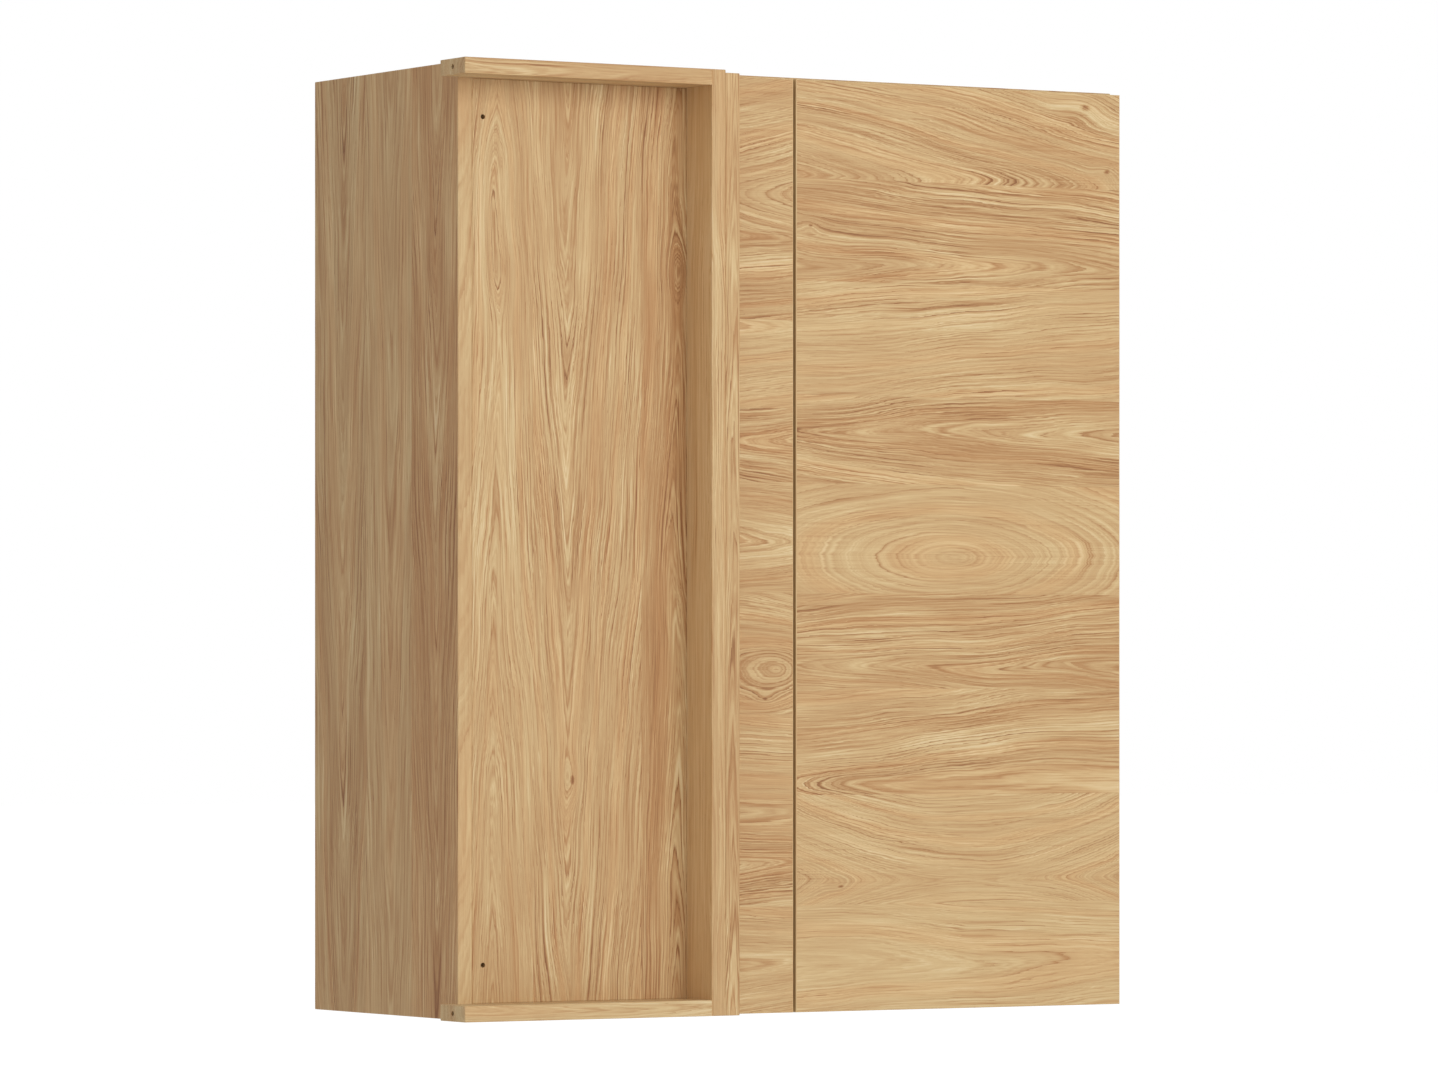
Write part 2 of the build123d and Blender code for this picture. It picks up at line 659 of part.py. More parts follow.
def hinge_arm(z):
    """Channel-section arm: web towards the case's middle, open towards the side panel."""
    slant = tuple(zip((ARM_TOP_X, ARM_NOSE_X), ARM_SLANT))
    flange = [(ARM_TOP_X, ARM_REAR_T), *slant, (ARM_NOSE_X, NOSE_T), (NOSE_BACK_X, NOSE_T), *ARM_WAIST,
              (ARM_OPEN_X, ARM_REAR_T)]
    beyond = 2 * CUP_RADIUS
    lining = [(x + ARM_SHEET, t + ARM_SHEET / 3) for x, t in slant]
    hollow = [(ARM_TOP_X + ARM_SHEET, ARM_REAR_T - beyond), *lining, (ARM_NOSE_X + ARM_SHEET, beyond),
              (ARM_OPEN_X + beyond, beyond), (ARM_OPEN_X + beyond, ARM_REAR_T - beyond)]
    inner = ARM_HALF_WIDTH - ARM_SHEET
    arm = prism(flange, (z - ARM_HALF_WIDTH, z + ARM_HALF_WIDTH)) - prism(hollow, (z - inner, z + inner))
    x, y, _ = space(NOSE_RIVET, z)
    arm -= rod((x, y, z - ARM_HALF_WIDTH), (0, 0, 1), RIVET_HOLE_RADIUS, 2 * ARM_HALF_WIDTH)
    for y in ADJUST_Y:
        arm -= rod((ARM_TOP_X, y, z), (1, 0, 0), ADJUSTING_SCREW[0] + LOOSE_FIT, ARM_SHEET)
    return arm


def nose_rivets(z):
    """Rivet ends that show on the two sides of the arm's nose."""
    x, y, _ = space(NOSE_RIVET, z)
    for side in (-1, 1):
        start = (x, y, z + side * (ARM_HALF_WIDTH - ARM_SHEET))
        yield turned(start, (0, 0, side), (RIVET_RADIUS, ARM_SHEET), RIVET_HEAD)


def hinge_plate(z):
    """Cross plate on the side panel with the ridge that carries the arm."""
    width, height = PLATE_SIZE
    face = INNER_X - PLATE_THICK
    plate = span((face, INNER_X), (PLATE_Y - width / 2, PLATE_Y + width / 2), (z - height / 2, z + height / 2))
    plate = fillet(plate.edges().filter_by(Axis.X), width / 2 - EASE)
    ridge = span((RIDGE_X, face), RIDGE_Y, (z - RIDGE_HALF_WIDTH, z + RIDGE_HALF_WIDTH))
    plate += ridge
    for offset in (-PLATE_SCREW_Z, PLATE_SCREW_Z):
        plate -= rod((face, PLATE_Y, z + offset), (1, 0, 0), PLATE_SCREW[0] + LOOSE_FIT, PLATE_THICK)
    for y in ADJUST_Y:
        plate -= rod((RIDGE_X, y, z), (1, 0, 0), ADJUSTING_SCREW[0] + LOOSE_FIT, ADJUST_BORE)
    return plate


def cup_screws(z):
    for side in (-1, 1):
        seat = (CUP_SCREW_X, FRONT_BACK_Y + CUP_FLANGE, z + side * CUP_SCREW_Z)
        yield screw(seat, (0, -1, 0), CUP_SCREW)


def plate_screws(z):
    for side in (-1, 1):
        seat = (INNER_X - PLATE_THICK, PLATE_Y, z + side * PLATE_SCREW_Z)
        yield screw(seat, (1, 0, 0), PLATE_SCREW)


def adjusting_screws(z):
    for y in ADJUST_Y:
        yield screw((ARM_TOP_X, y, z), (1, 0, 0), ADJUSTING_SCREW)


for level, height in HINGE_Z.items():
    write(f"hinge_cup_{level}", hinge_cup(height))
    write(f"hinge_link_{level}", hinge_link(height))
    write(f"hinge_arm_{level}", hinge_arm(height))
    write(f"hinge_plate_{level}", hinge_plate(height))
write("hinge_cup_pins", *[hinge_pin(z) for z in HINGE_Z.values()])
write("hinge_nose_rivets", *[rivet for z in HINGE_Z.values() for rivet in nose_rivets(z)])
write("hinge_cup_screws", *[piece for z in HINGE_Z.values() for piece in cup_screws(z)])
write("hinge_plate_screws", *[piece for z in HINGE_Z.values() for piece in plate_screws(z)])
write("hinge_adjusting_screws", *[piece for z in HINGE_Z.values() for piece in adjusting_screws(z)])


# Wall hangers
def hanger_housing(side):
    """Box in the top rear corner, open towards the wall."""
    wall = HANGER_WALL
    x_limits = (side * HANGER_INNER_X, side * INNER_X)
    housing = span(x_limits, (HANGER_FRONT, HANGER_REAR), (HANGER_BOTTOM, HANGER_TOP))
    front_edges = [edge for edge in housing.edges() if edge.center().Y < HANGER_FRONT + EASE]
    housing = fillet(front_edges, wall / 2)
    hollow_x = (side * (HANGER_INNER_X + wall), side * (INNER_X - wall))
    hollow_y = (HANGER_FRONT + wall, HANGER_REAR)
    housing -= span(hollow_x, hollow_y, (HANGER_BOTTOM + wall, HANGER_TOP - wall))
    middle_z = (HANGER_BOTTOM + HANGER_TOP) / 2
    for x in HANGER_ADJUST_X:
        housing -= rod((side * x, HANGER_FRONT, middle_z), (0, 1, 0), HANGER_ADJUSTER[0] + LOOSE_FIT, wall)
    for z in hanger_screw_heights():
        start = (side * (INNER_X - wall), HANGER_SCREW_Y, z)
        housing -= rod(start, (side, 0, 0), HANGER_SCREW[0] + LOOSE_FIT, wall)
    return housing


def hanger_carrier(side):
    """Block that carries the hook up and down inside the housing."""
    x_limits = (side * (HOOK_X - CARRIER_HALF_WIDTH), side * (HOOK_X + CARRIER_HALF_WIDTH))
    carrier = chamfer(span(x_limits, CARRIER_Y, CARRIER_Z).edges(), 2 * EASE)
    half = HOOK_THICK / 2 + HOOK_PLAY
    slot_z = (HOOK_Z[0] - HOOK_PLAY, HOOK_Z[1] + HOOK_PLAY)
    return carrier - span((side * (HOOK_X - half), side * (HOOK_X + half)), CARRIER_Y, slot_z)


def hanger_hook(side):
    """Steel hook: a bar through the carrier with a tooth that drops behind a wall rail."""
    x_limits = (side * (HOOK_X - HOOK_THICK / 2), side * (HOOK_X + HOOK_THICK / 2))
    hook = span(x_limits, HOOK_Y, HOOK_Z)
    tooth = span(x_limits, (TOOTH_FRONT, HOOK_Y[1]), (TOOTH_BOTTOM, HOOK_Z[0] + EASE))
    return hook + tooth


def hanger_fixing_screws():
    for side in SIDES.values():
        for z in hanger_screw_heights():
            seat = (side * (INNER_X - HANGER_WALL), HANGER_SCREW_Y, z)
            yield screw(seat, (side, 0, 0), HANGER_SCREW)


def hanger_adjusting_screws():
    middle_z = (HANGER_BOTTOM + HANGER_TOP) / 2
    for side in SIDES.values():
        for x in HANGER_ADJUST_X:
            yield screw((side * x, HANGER_FRONT, middle_z), (0, 1, 0), HANGER_ADJUSTER)


for name, side in SIDES.items():
    write(f"hanger_housing_{name}", hanger_housing(side))
    write(f"hanger_carrier_{name}", hanger_carrier(side))
    write(f"hanger_hook_{name}", hanger_hook(side))
write("hanger_fixing_screws", *hanger_fixing_screws())
write("hanger_adjusting_screws", *hanger_adjusting_screws())


# Push latch and bumpers
def latch_housing():
    x_limits = (LATCH_X - LATCH_HALF_WIDTH, LATCH_X + LATCH_HALF_WIDTH)
    housing = span(x_limits, (LATCH_FRONT, LATCH_REAR), (LATCH_BOTTOM, INNER_TOP))
    lower_edges = housing.edges().filter_by(Axis.Y).sort_by(Axis.Z)[:2]
    housing = fillet(lower_edges, LATCH_HALF_WIDTH / 2)
    reach, half_length, thickness = LATCH_EAR
    ear_y = (LATCH_SCREW_Y - half_length / 2, LATCH_SCREW_Y + half_length / 2)
    ears = span((LATCH_X - reach, LATCH_X + reach), ear_y, (INNER_TOP - thickness, INNER_TOP))
    housing += fillet(ears.edges().filter_by(Axis.Z), thickness)
    bore_length = LATCH_REAR - LATCH_FRONT - thickness
    housing -= rod((LATCH_X, LATCH_FRONT, LATCH_Z), (0, 1, 0), PLUNGER_RADIUS + CLOSE_FIT, bore_length)
    for x, y in latch_screw_places():
        housing -= rod((x, y, INNER_TOP - thickness), (0, 0, 1), LATCH_SCREW[0] + LOOSE_FIT, thickness)
    return housing


def latch_plunger():
    """Plunger with a pocket for the magnet in its tip."""
    tip, tail = PLUNGER_Y
    plunger = rod((LATCH_X, tip, LATCH_Z), (0, 1, 0), PLUNGER_RADIUS, tail - tip)
    plunger = chamfer(plunger.edges().filter_by(GeomType.CIRCLE), EASE)
    return plunger - rod((LATCH_X, tip, LATCH_Z), (0, 1, 0), MAGNET_RADIUS + CLOSE_FIT, MAGNET_THICK)


def latch_magnet():
    return rod((LATCH_X, PLUNGER_Y[0], LATCH_Z), (0, 1, 0), MAGNET_RADIUS, MAGNET_THICK)


def latch_spring():
    """Round-wire coil spring behind the plunger."""
    front, rear = SPRING_Y
    path = Helix(SPRING_PITCH, rear - front, SPRING_RADIUS)
    coil = sweep(Plane(path @ 0, z_dir=path % 0) * Circle(SPRING_WIRE), path)
    return Plane(origin=(LATCH_X, front, LATCH_Z), z_dir=(0, 1, 0)) * coil


def latch_screw(x, y):
    return screw((x, y, INNER_TOP - LATCH_EAR[2]), (0, 0, 1), LATCH_SCREW)


def bumper(x, z):
    pad = rod((x, CASE_FRONT, z), (0, -1, 0), BUMPER_RADIUS, BUMPER_THICK)
    crown = pad.edges().filter_by(GeomType.CIRCLE).sort_by(Axis.Y)[0]
    return fillet(crown, 2 * EASE)


write("latch_housing", latch_housing())
write("latch_plunger", latch_plunger())
write("latch_magnet", latch_magnet())
write("latch_spring", latch_spring())
write("latch_screws", *[latch_screw(x, y) for x, y in latch_screw_places()])
write("latch_strike_plate", rod((LATCH_X, FRONT_BACK_Y, LATCH_Z), (0, 1, 0), STRIKE_RADIUS, STRIKE_THICK))
write("door_bumpers", *[bumper(x, z) for x, z in BUMPERS])
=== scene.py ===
import bmesh
import bpy
import json
import math
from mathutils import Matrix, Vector

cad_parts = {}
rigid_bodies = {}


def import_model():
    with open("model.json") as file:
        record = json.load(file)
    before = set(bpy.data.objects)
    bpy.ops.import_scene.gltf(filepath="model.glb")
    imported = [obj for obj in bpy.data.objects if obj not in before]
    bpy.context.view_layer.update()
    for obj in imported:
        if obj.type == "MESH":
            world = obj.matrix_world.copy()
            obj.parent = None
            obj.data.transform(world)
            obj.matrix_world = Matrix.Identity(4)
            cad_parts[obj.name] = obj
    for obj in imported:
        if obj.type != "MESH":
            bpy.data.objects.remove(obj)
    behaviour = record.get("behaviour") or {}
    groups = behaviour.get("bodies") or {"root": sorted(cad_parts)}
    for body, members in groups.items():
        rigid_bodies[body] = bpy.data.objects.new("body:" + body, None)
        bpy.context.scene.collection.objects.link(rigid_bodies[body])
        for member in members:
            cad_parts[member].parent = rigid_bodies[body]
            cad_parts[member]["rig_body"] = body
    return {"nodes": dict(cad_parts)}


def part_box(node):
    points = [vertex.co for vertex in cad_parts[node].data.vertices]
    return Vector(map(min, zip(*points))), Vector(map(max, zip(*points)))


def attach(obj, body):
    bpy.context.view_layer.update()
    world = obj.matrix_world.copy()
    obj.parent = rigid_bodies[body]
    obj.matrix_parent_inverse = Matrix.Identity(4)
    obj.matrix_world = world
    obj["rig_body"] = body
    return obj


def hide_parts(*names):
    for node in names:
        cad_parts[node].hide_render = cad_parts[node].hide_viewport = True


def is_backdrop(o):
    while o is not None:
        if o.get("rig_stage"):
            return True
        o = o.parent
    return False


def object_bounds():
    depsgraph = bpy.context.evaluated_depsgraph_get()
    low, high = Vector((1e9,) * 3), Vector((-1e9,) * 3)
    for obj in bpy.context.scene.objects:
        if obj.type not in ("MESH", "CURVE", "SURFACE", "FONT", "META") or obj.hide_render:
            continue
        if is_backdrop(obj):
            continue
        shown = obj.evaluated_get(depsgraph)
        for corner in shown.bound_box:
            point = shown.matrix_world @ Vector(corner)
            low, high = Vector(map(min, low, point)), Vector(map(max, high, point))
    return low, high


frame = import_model()
cadLow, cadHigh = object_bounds()
nodes = frame["nodes"]
slotOf = {name: node.data.materials[0].name for name, node in nodes.items()}
scene = bpy.context.scene
print("frame loaded:", len(nodes), "nodes")


def feed(tree, socket, value):
    # a socket gets either a link or its own value
    if isinstance(value, bpy.types.NodeSocket):
        tree.links.new(value, socket)
    else:
        socket.default_value = value


def put(tree, kind, inputs=None, **settings):
    node = tree.nodes.new(kind)
    for key, value in settings.items():
        setattr(node, key, value)
    for key, value in (inputs or {}).items():
        feed(tree, node.inputs[key], value)
    return node


def calc(tree, operation, *values, clamp=False):
    node = put(tree, "ShaderNodeMath", operation=operation, use_clamp=clamp)
    for socket, value in zip(node.inputs, values):
        feed(tree, socket, value)
    return node.outputs[0]


def blendColour(tree, amount, first, second, mode="MIX"):
    node = put(tree, "ShaderNodeMix", data_type="RGBA", blend_type=mode)
    feed(tree, node.inputs["Factor"], amount)
    feed(tree, node.inputs[6], first)
    feed(tree, node.inputs[7], second)
    return node.outputs[2]


def stretchRange(tree, value, fromLow, fromHigh, toLow=0.0, toHigh=1.0):
    node = put(tree, "ShaderNodeMapRange", clamp=True)
    for socket, entry in zip(node.inputs, (value, fromLow, fromHigh, toLow, toHigh)):
        feed(tree, socket, entry)
    return node.outputs[0]


def noise(tree, vector, scale, detail=2.0, roughness=0.5, dimensions="3D", w=None):
    node = put(tree, "ShaderNodeTexNoise", {"Scale": scale, "Detail": detail, "Roughness": roughness},
               noise_dimensions=dimensions)
    if vector is not None:
        feed(tree, node.inputs["Vector"], vector)
    if w is not None:
        feed(tree, node.inputs["W"], w)
    return node.outputs["Fac"]


def colour(red, green, blue, alpha=1.0):
    # display values of 0 to 255 turned into linear light
    def linear(value):
        part = value / 255
        return part / 12.92 if part <= 0.04045 else ((part + 0.055) / 1.055) ** 2.4
    return (linear(red), linear(green), linear(blue), alpha)


def ramp(tree, value, stops, interpolation="LINEAR"):
    node = put(tree, "ShaderNodeValToRGB", {"Fac": value})
    band = node.color_ramp
    band.interpolation = interpolation
    while len(band.elements) > 1:
        band.elements.remove(band.elements[-1])
    for index, (place, shade) in enumerate(stops):
        element = band.elements[0] if index == 0 else band.elements.new(place)
        element.position = place
        element.color = shade
    return node.outputs["Color"]


def newGroup(name, inputs, outputs):
    tree = bpy.data.node_groups.new(name, "ShaderNodeTree")
    for label, value in inputs.items():
        kind = "NodeSocketVector" if isinstance(value, tuple) else "NodeSocketFloat"
        tree.interface.new_socket(label, in_out="INPUT", socket_type=kind).default_value = value
    for label, kind in outputs.items():
        tree.interface.new_socket(label, in_out="OUTPUT", socket_type=kind)
    entry = put(tree, "NodeGroupInput").outputs
    leave = put(tree, "NodeGroupOutput").inputs
    return tree, entry, leave


def useGroup(tree, group, values):
    node = put(tree, "ShaderNodeGroup", node_tree=group)
    for key, value in values.items():
        feed(tree, node.inputs[key], value)
    return node.outputs


def newMaterial(name, **values):
    material = bpy.data.materials.new(name)
    material.use_nodes = True
    tree = material.node_tree
    shader = tree.nodes["Principled BSDF"]
    for key, value in values.items():
        shader.inputs[key.replace("_", " ")].default_value = value
    place = put(tree, "ShaderNodeTexCoord").outputs["Object"]
    return material, tree, shader, place


def bumpInto(tree, shader, height, distance, strength=1.0):
    bump = put(tree, "ShaderNodeBump", {"Height": height, "Distance": distance, "Strength": strength})
    tree.links.new(bump.outputs["Normal"], shader.inputs["Normal"])


def dress(material, *names):
    # every material slot of the node gets the new finish
    for name in names:
        mesh = nodes[name].data
        if not mesh.materials:
            mesh.materials.append(material)
        for index in range(len(mesh.materials)):
            mesh.materials[index] = material


# the figure of hickory: ring lines, fibres and pores, along X of the place it is given
woodTones = {
    "deep": colour(144, 98, 60), "brown": colour(178, 134, 88), "middle": colour(197, 162, 115),
    "pale": colour(210, 182, 134), "cream": colour(220, 197, 154), "pinkShift": (1.05, 0.95, 0.89, 1.0),
}
toneStops = {"deep": 0.0, "brown": 0.28, "middle": 0.52, "pale": 0.74, "cream": 1.0}
hickoryLook = {
    "slowWander": 0.026, "quickWander": 0.0034,     # metres that a ring line strays
    "fibreFray": 0.0016, "streakFray": 0.0024,
    "broad": 0.38, "middling": 0.40, "hair": 1.10, "edge": -0.46,     # lines that follow the rings
    "patch": 0.34, "fibre": 0.44, "streak": 0.18, "pore": -0.12, "knot": -0.55,
    "pinkRings": 0.45, "dullest": 0.50, "glossiest": 0.42,
}
grainSize = {       # waves per metre along and across the grain
    "slow": (4.5, 12.0), "quick": (22.0, 60.0), "fibre": (11.0, 720.0), "streak": (6.0, 190.0),
    "patch": (6.0, 20.0), "pore": (70.0, 1300.0),
}
ringSize = {        # waves per metre along the grain, and per ring
    "middling": (2.6, 1.45), "hair": (7.0, 4.8), "edgeBreaks": (5.0, 0.35), "edges": 1.4,
    "edgeSwing": 3.0, "edgeSharpness": 7.0, "broad": 0.22, "pink": 0.31,
}


def makeHickory():
    look = hickoryLook
    tree, entry, leave = newGroup(
        "hickoryFigure",
        {"Place": (0.0, 0.0, 0.0), "Apex": 0.0, "Centre": 0.0, "Stretch": 0.1, "Taper": 0.1, "Bow": 0.0,
         "Depth": 0.004, "Pitch": 0.006, "Tone": 0.5, "Contrast": 1.0, "Pink": 0.0, "Bend": 0.0, "Spot": 0.0,
         "Wobble": 1.0, "Seed": 0.0},
        {"Colour": "NodeSocketColor", "Roughness": "NodeSocketFloat", "Height": "NodeSocketFloat"})
    part = put(tree, "ShaderNodeSeparateXYZ", {0: entry["Place"]}).outputs
    along, across, down = part[0], part[1], part[2]
    seedShift = calc(tree, "MULTIPLY", entry["Seed"], 7.31)

    def grain(name, detail, roughness=0.5):
        # noise pulled long beside the grain
        alongScale, acrossScale = grainSize[name]
        spot = put(tree, "ShaderNodeCombineXYZ", {
            0: calc(tree, "MULTIPLY_ADD", along, alongScale, seedShift),
            1: calc(tree, "MULTIPLY", across, acrossScale),
            2: calc(tree, "MULTIPLY", down, acrossScale)}).outputs[0]
        return noise(tree, spot, 1.0, detail, roughness)

    # slow and quick wander of the lines
    slow = calc(tree, "SUBTRACT", grain("slow", 1.0), 0.5)
    quick = calc(tree, "SUBTRACT", grain("quick", 2.0, 0.6), 0.5)
    wander = calc(tree, "MULTIPLY_ADD", slow, look["slowWander"], calc(tree, "MULTIPLY", quick, look["quickWander"]))
    wander = calc(tree, "MULTIPLY", wander, entry["Wobble"])
    fromCentre = calc(tree, "ADD", calc(tree, "SUBTRACT", across, entry["Centre"]), wander)
    fromApex = calc(tree, "SUBTRACT", along, entry["Apex"])
    pith = calc(tree, "ADD", entry["Depth"], down)
    squares = calc(tree, "ADD", calc(tree, "MULTIPLY", fromCentre, fromCentre),
                   calc(tree, "MULTIPLY", pith, pith))
    run = calc(tree, "MULTIPLY", fromApex, entry["Stretch"])
    squares = calc(tree, "MULTIPLY_ADD", run, run, squares)
    ring = calc(tree, "SQRT", squares)
    ring = calc(tree, "MULTIPLY_ADD", fromApex, entry["Taper"], ring)
    ring = calc(tree, "MULTIPLY_ADD", calc(tree, "MULTIPLY", fromApex, fromApex), entry["Bow"], ring)
    ring = calc(tree, "ADD", ring, entry["Bend"])

    # fibres are long and thin, and they fray the edges of the rings
    fibre = grain("fibre", 2.0, 0.6)
    streak = grain("streak", 2.0, 0.65)
    ring = calc(tree, "MULTIPLY_ADD", calc(tree, "SUBTRACT", fibre, 0.5), look["fibreFray"], ring)
    ring = calc(tree, "MULTIPLY_ADD", calc(tree, "SUBTRACT", streak, 0.5), look["streakFray"], ring)
    count = calc(tree, "ADD", calc(tree, "DIVIDE", ring, entry["Pitch"]), seedShift)

    def followed(name, detail, shift=0.0):
        # noise that runs along the rings and breaks off after a while
        alongScale, countScale = ringSize[name]
        spot = put(tree, "ShaderNodeCombineXYZ", {
            0: calc(tree, "MULTIPLY_ADD", along, alongScale, shift),
            1: calc(tree, "MULTIPLY", count, countScale)}).outputs[0]
        return noise(tree, spot, 1.0, detail, 0.6, "2D")

    # broad bands, single rings and hair lines all follow the ring number
    broad = noise(tree, None, ringSize["broad"], 1.0, 0.5, "1D", count)
    middling = followed("middling", 2.0)
    hair = followed("hair", 2.0, 30.0)
    edgeCount = calc(tree, "MULTIPLY_ADD", broad, ringSize["edgeSwing"],
                     calc(tree, "MULTIPLY", count, ringSize["edges"]))
    edge = calc(tree, "POWER", calc(tree, "FRACT", edgeCount), ringSize["edgeSharpness"])
    edge = calc(tree, "MULTIPLY", edge, stretchRange(tree, followed("edgeBreaks", 1.0, 60.0), 0.46, 0.62))
    patch = grain("patch", 2.0, 0.55)
    pore = stretchRange(tree, grain("pore", 1.0), 0.60, 0.72)
    pore = calc(tree, "MULTIPLY", pore, stretchRange(tree, middling, 0.42, 0.62, 0.25, 1.0))
    clarity = stretchRange(tree, patch, 0.34, 0.66, 0.45, 1.45)

    def pulled(value, amount, total):
        return calc(tree, "MULTIPLY_ADD", calc(tree, "SUBTRACT", value, 0.5), amount, total)

    tone = pulled(broad, look["broad"], 0.0)
    tone = pulled(middling, look["middling"], tone)
    tone = pulled(hair, look["hair"], tone)
    tone = calc(tree, "MULTIPLY_ADD", edge, look["edge"], tone)
    tone = calc(tree, "MULTIPLY", tone, clarity)
    tone = calc(tree, "MULTIPLY", tone, entry["Contrast"])
    tone = pulled(patch, look["patch"], tone)
    tone = pulled(fibre, look["fibre"], tone)
    tone = pulled(streak, look["streak"], tone)
    tone = calc(tree, "ADD", tone, entry["Tone"])
    tone = calc(tree, "MULTIPLY_ADD", pore, look["pore"], tone)
    tone = calc(tree, "MULTIPLY_ADD", entry["Spot"], look["knot"], tone, clamp=True)
    shade = ramp(tree, tone, [(stop, woodTones[label]) for label, stop in toneStops.items()])
    # some rings lean to pink
    pinkNoise = noise(tree, None, ringSize["pink"], 1.0, 0.5, "1D", calc(tree, "ADD", count, 40.0))
    pinkness = stretchRange(tree, pinkNoise, 0.48, 0.66, 0.0, look["pinkRings"])
    pinkness = calc(tree, "ADD", pinkness, entry["Pink"], clamp=True)
    pinkShade = blendColour(tree, 1.0, shade, woodTones["pinkShift"], "MULTIPLY")
    feed(tree, leave["Colour"], blendColour(tree, pinkness, shade, pinkShade))
    feed(tree, leave["Roughness"], stretchRange(tree, tone, 0.2, 0.9, look["dullest"], look["glossiest"]))
    height = calc(tree, "MULTIPLY_ADD", pore, -0.6, calc(tree, "MULTIPLY", tone, 0.4))
    feed(tree, leave["Height"], calc(tree, "MULTIPLY_ADD", fibre, 0.2, height))
    return tree


knotLook = {
    "squeeze": (0.55, 1.0, 0.0),        # a knot is longer along the grain
    "push": -1.6, "roughScale": 260.0, "roughness": 0.9, "heart": 0.35, "rim": 1.25,
}


def makeKnot():
    # rings swing round a knot and darken in its heart
    tree, entry, leave = newGroup(
        "woodKnot", {"Place": (0.0, 0.0, 0.0), "Middle": (0.0, 0.0, 0.0), "Size": 0.01, "Reach": 2.5, "Dark": 1.0},
        {"Bend": "NodeSocketFloat", "Spot": "NodeSocketFloat"})
    away = put(tree, "ShaderNodeVectorMath", {0: entry["Place"], 1: entry["Middle"]}, operation="SUBTRACT")
    flat = put(tree, "ShaderNodeVectorMath", {0: away.outputs[0], 1: knotLook["squeeze"]}, operation="MULTIPLY")
    distance = put(tree, "ShaderNodeVectorMath", {0: flat.outputs[0]}, operation="LENGTH").outputs["Value"]
    spread = calc(tree, "DIVIDE", distance, calc(tree, "MULTIPLY", entry["Size"], entry["Reach"]))
    fall = calc(tree, "EXPONENT", calc(tree, "MULTIPLY", calc(tree, "MULTIPLY", spread, spread), -1.0))
    push = calc(tree, "MULTIPLY", entry["Size"], knotLook["push"])
    feed(tree, leave["Bend"], calc(tree, "MULTIPLY", fall, push))
    rough = noise(tree, entry["Place"], knotLook["roughScale"], 2.0)
    ragged = calc(tree, "MULTIPLY_ADD", calc(tree, "SUBTRACT", rough, 0.5), knotLook["roughness"],
                  calc(tree, "DIVIDE", distance, calc(tree, "MULTIPLY", entry["Size"], 0.5)))
    heart = stretchRange(tree, ragged, knotLook["heart"], knotLook["rim"], 1.0, 0.0)
    feed(tree, leave["Spot"], calc(tree, "MULTIPLY", heart, entry["Dark"]))
    return tree


chipLook = {
    "chips": 620.0,     # chips per metre
    "shades": [(0.0, colour(142, 106, 66)), (0.45, colour(186, 152, 108)), (0.8, colour(206, 176, 134)),
               (1.0, colour(168, 130, 88))],
}


def makeChipCore():
    # pressed chips of the board's core, which shows in bores, grooves and raw edges
    tree, entry, leave = newGroup("chipCore", {"Place": (0.0, 0.0, 0.0), "Chips": chipLook["chips"]},
                                  {"Colour": "NodeSocketColor", "Height": "NodeSocketFloat"})
    chips = put(tree, "ShaderNodeTexVoronoi", {"Vector": entry["Place"], "Scale": entry["Chips"]})
    split = put(tree, "ShaderNodeSeparateColor", {0: chips.outputs["Color"]}).outputs
    feed(tree, leave["Colour"], ramp(tree, split[0], chipLook["shades"]))
    feed(tree, leave["Height"], calc(tree, "SUBTRACT", split[1], chips.outputs["Distance"]))
    return tree


hickory = makeHickory()
woodKnot = makeKnot()
chipCore = makeChipCore()
print("wood groups built")


boardLook = {
    "faceSkin": 0.0007, "edgeSkin": 0.0009,     # thickness of the laminate and of the edge bands
    "ior": 1.46, "specular": 0.35, "coreDulling": 0.35, "bumpDepth": 0.00025, "bumpStrength": 0.6,
}


def plank(start, apex, centre, stretch=0.0, taper=0.1, bow=0.0, depth=0.004, pitch=0.006, tone=0.5, contrast=1.0,
          pink=0.0):
    # where a plank starts across the grain, the shape of its rings and its tone
    return {"start": start, "rows": ((apex, centre, stretch), (taper, bow, depth), (pitch, tone, contrast)),
            "pink": pink}


def boardCore(tree, part, name, thinAxis, rawAxis):
    # 1 inside the board, 0 on its laminated faces and banded edges
    low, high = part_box(name)
    inside = 1.0
    for axis in range(3):
        depth = boardLook["faceSkin" if axis == thinAxis else "edgeSkin"]
        inside = calc(tree, "MULTIPLY", inside, calc(tree, "GREATER_THAN", part[axis], low[axis] + depth))
        if axis != rawAxis:
            inside = calc(tree, "MULTIPLY", inside, calc(tree, "LESS_THAN", part[axis], high[axis] - depth))
    return inside


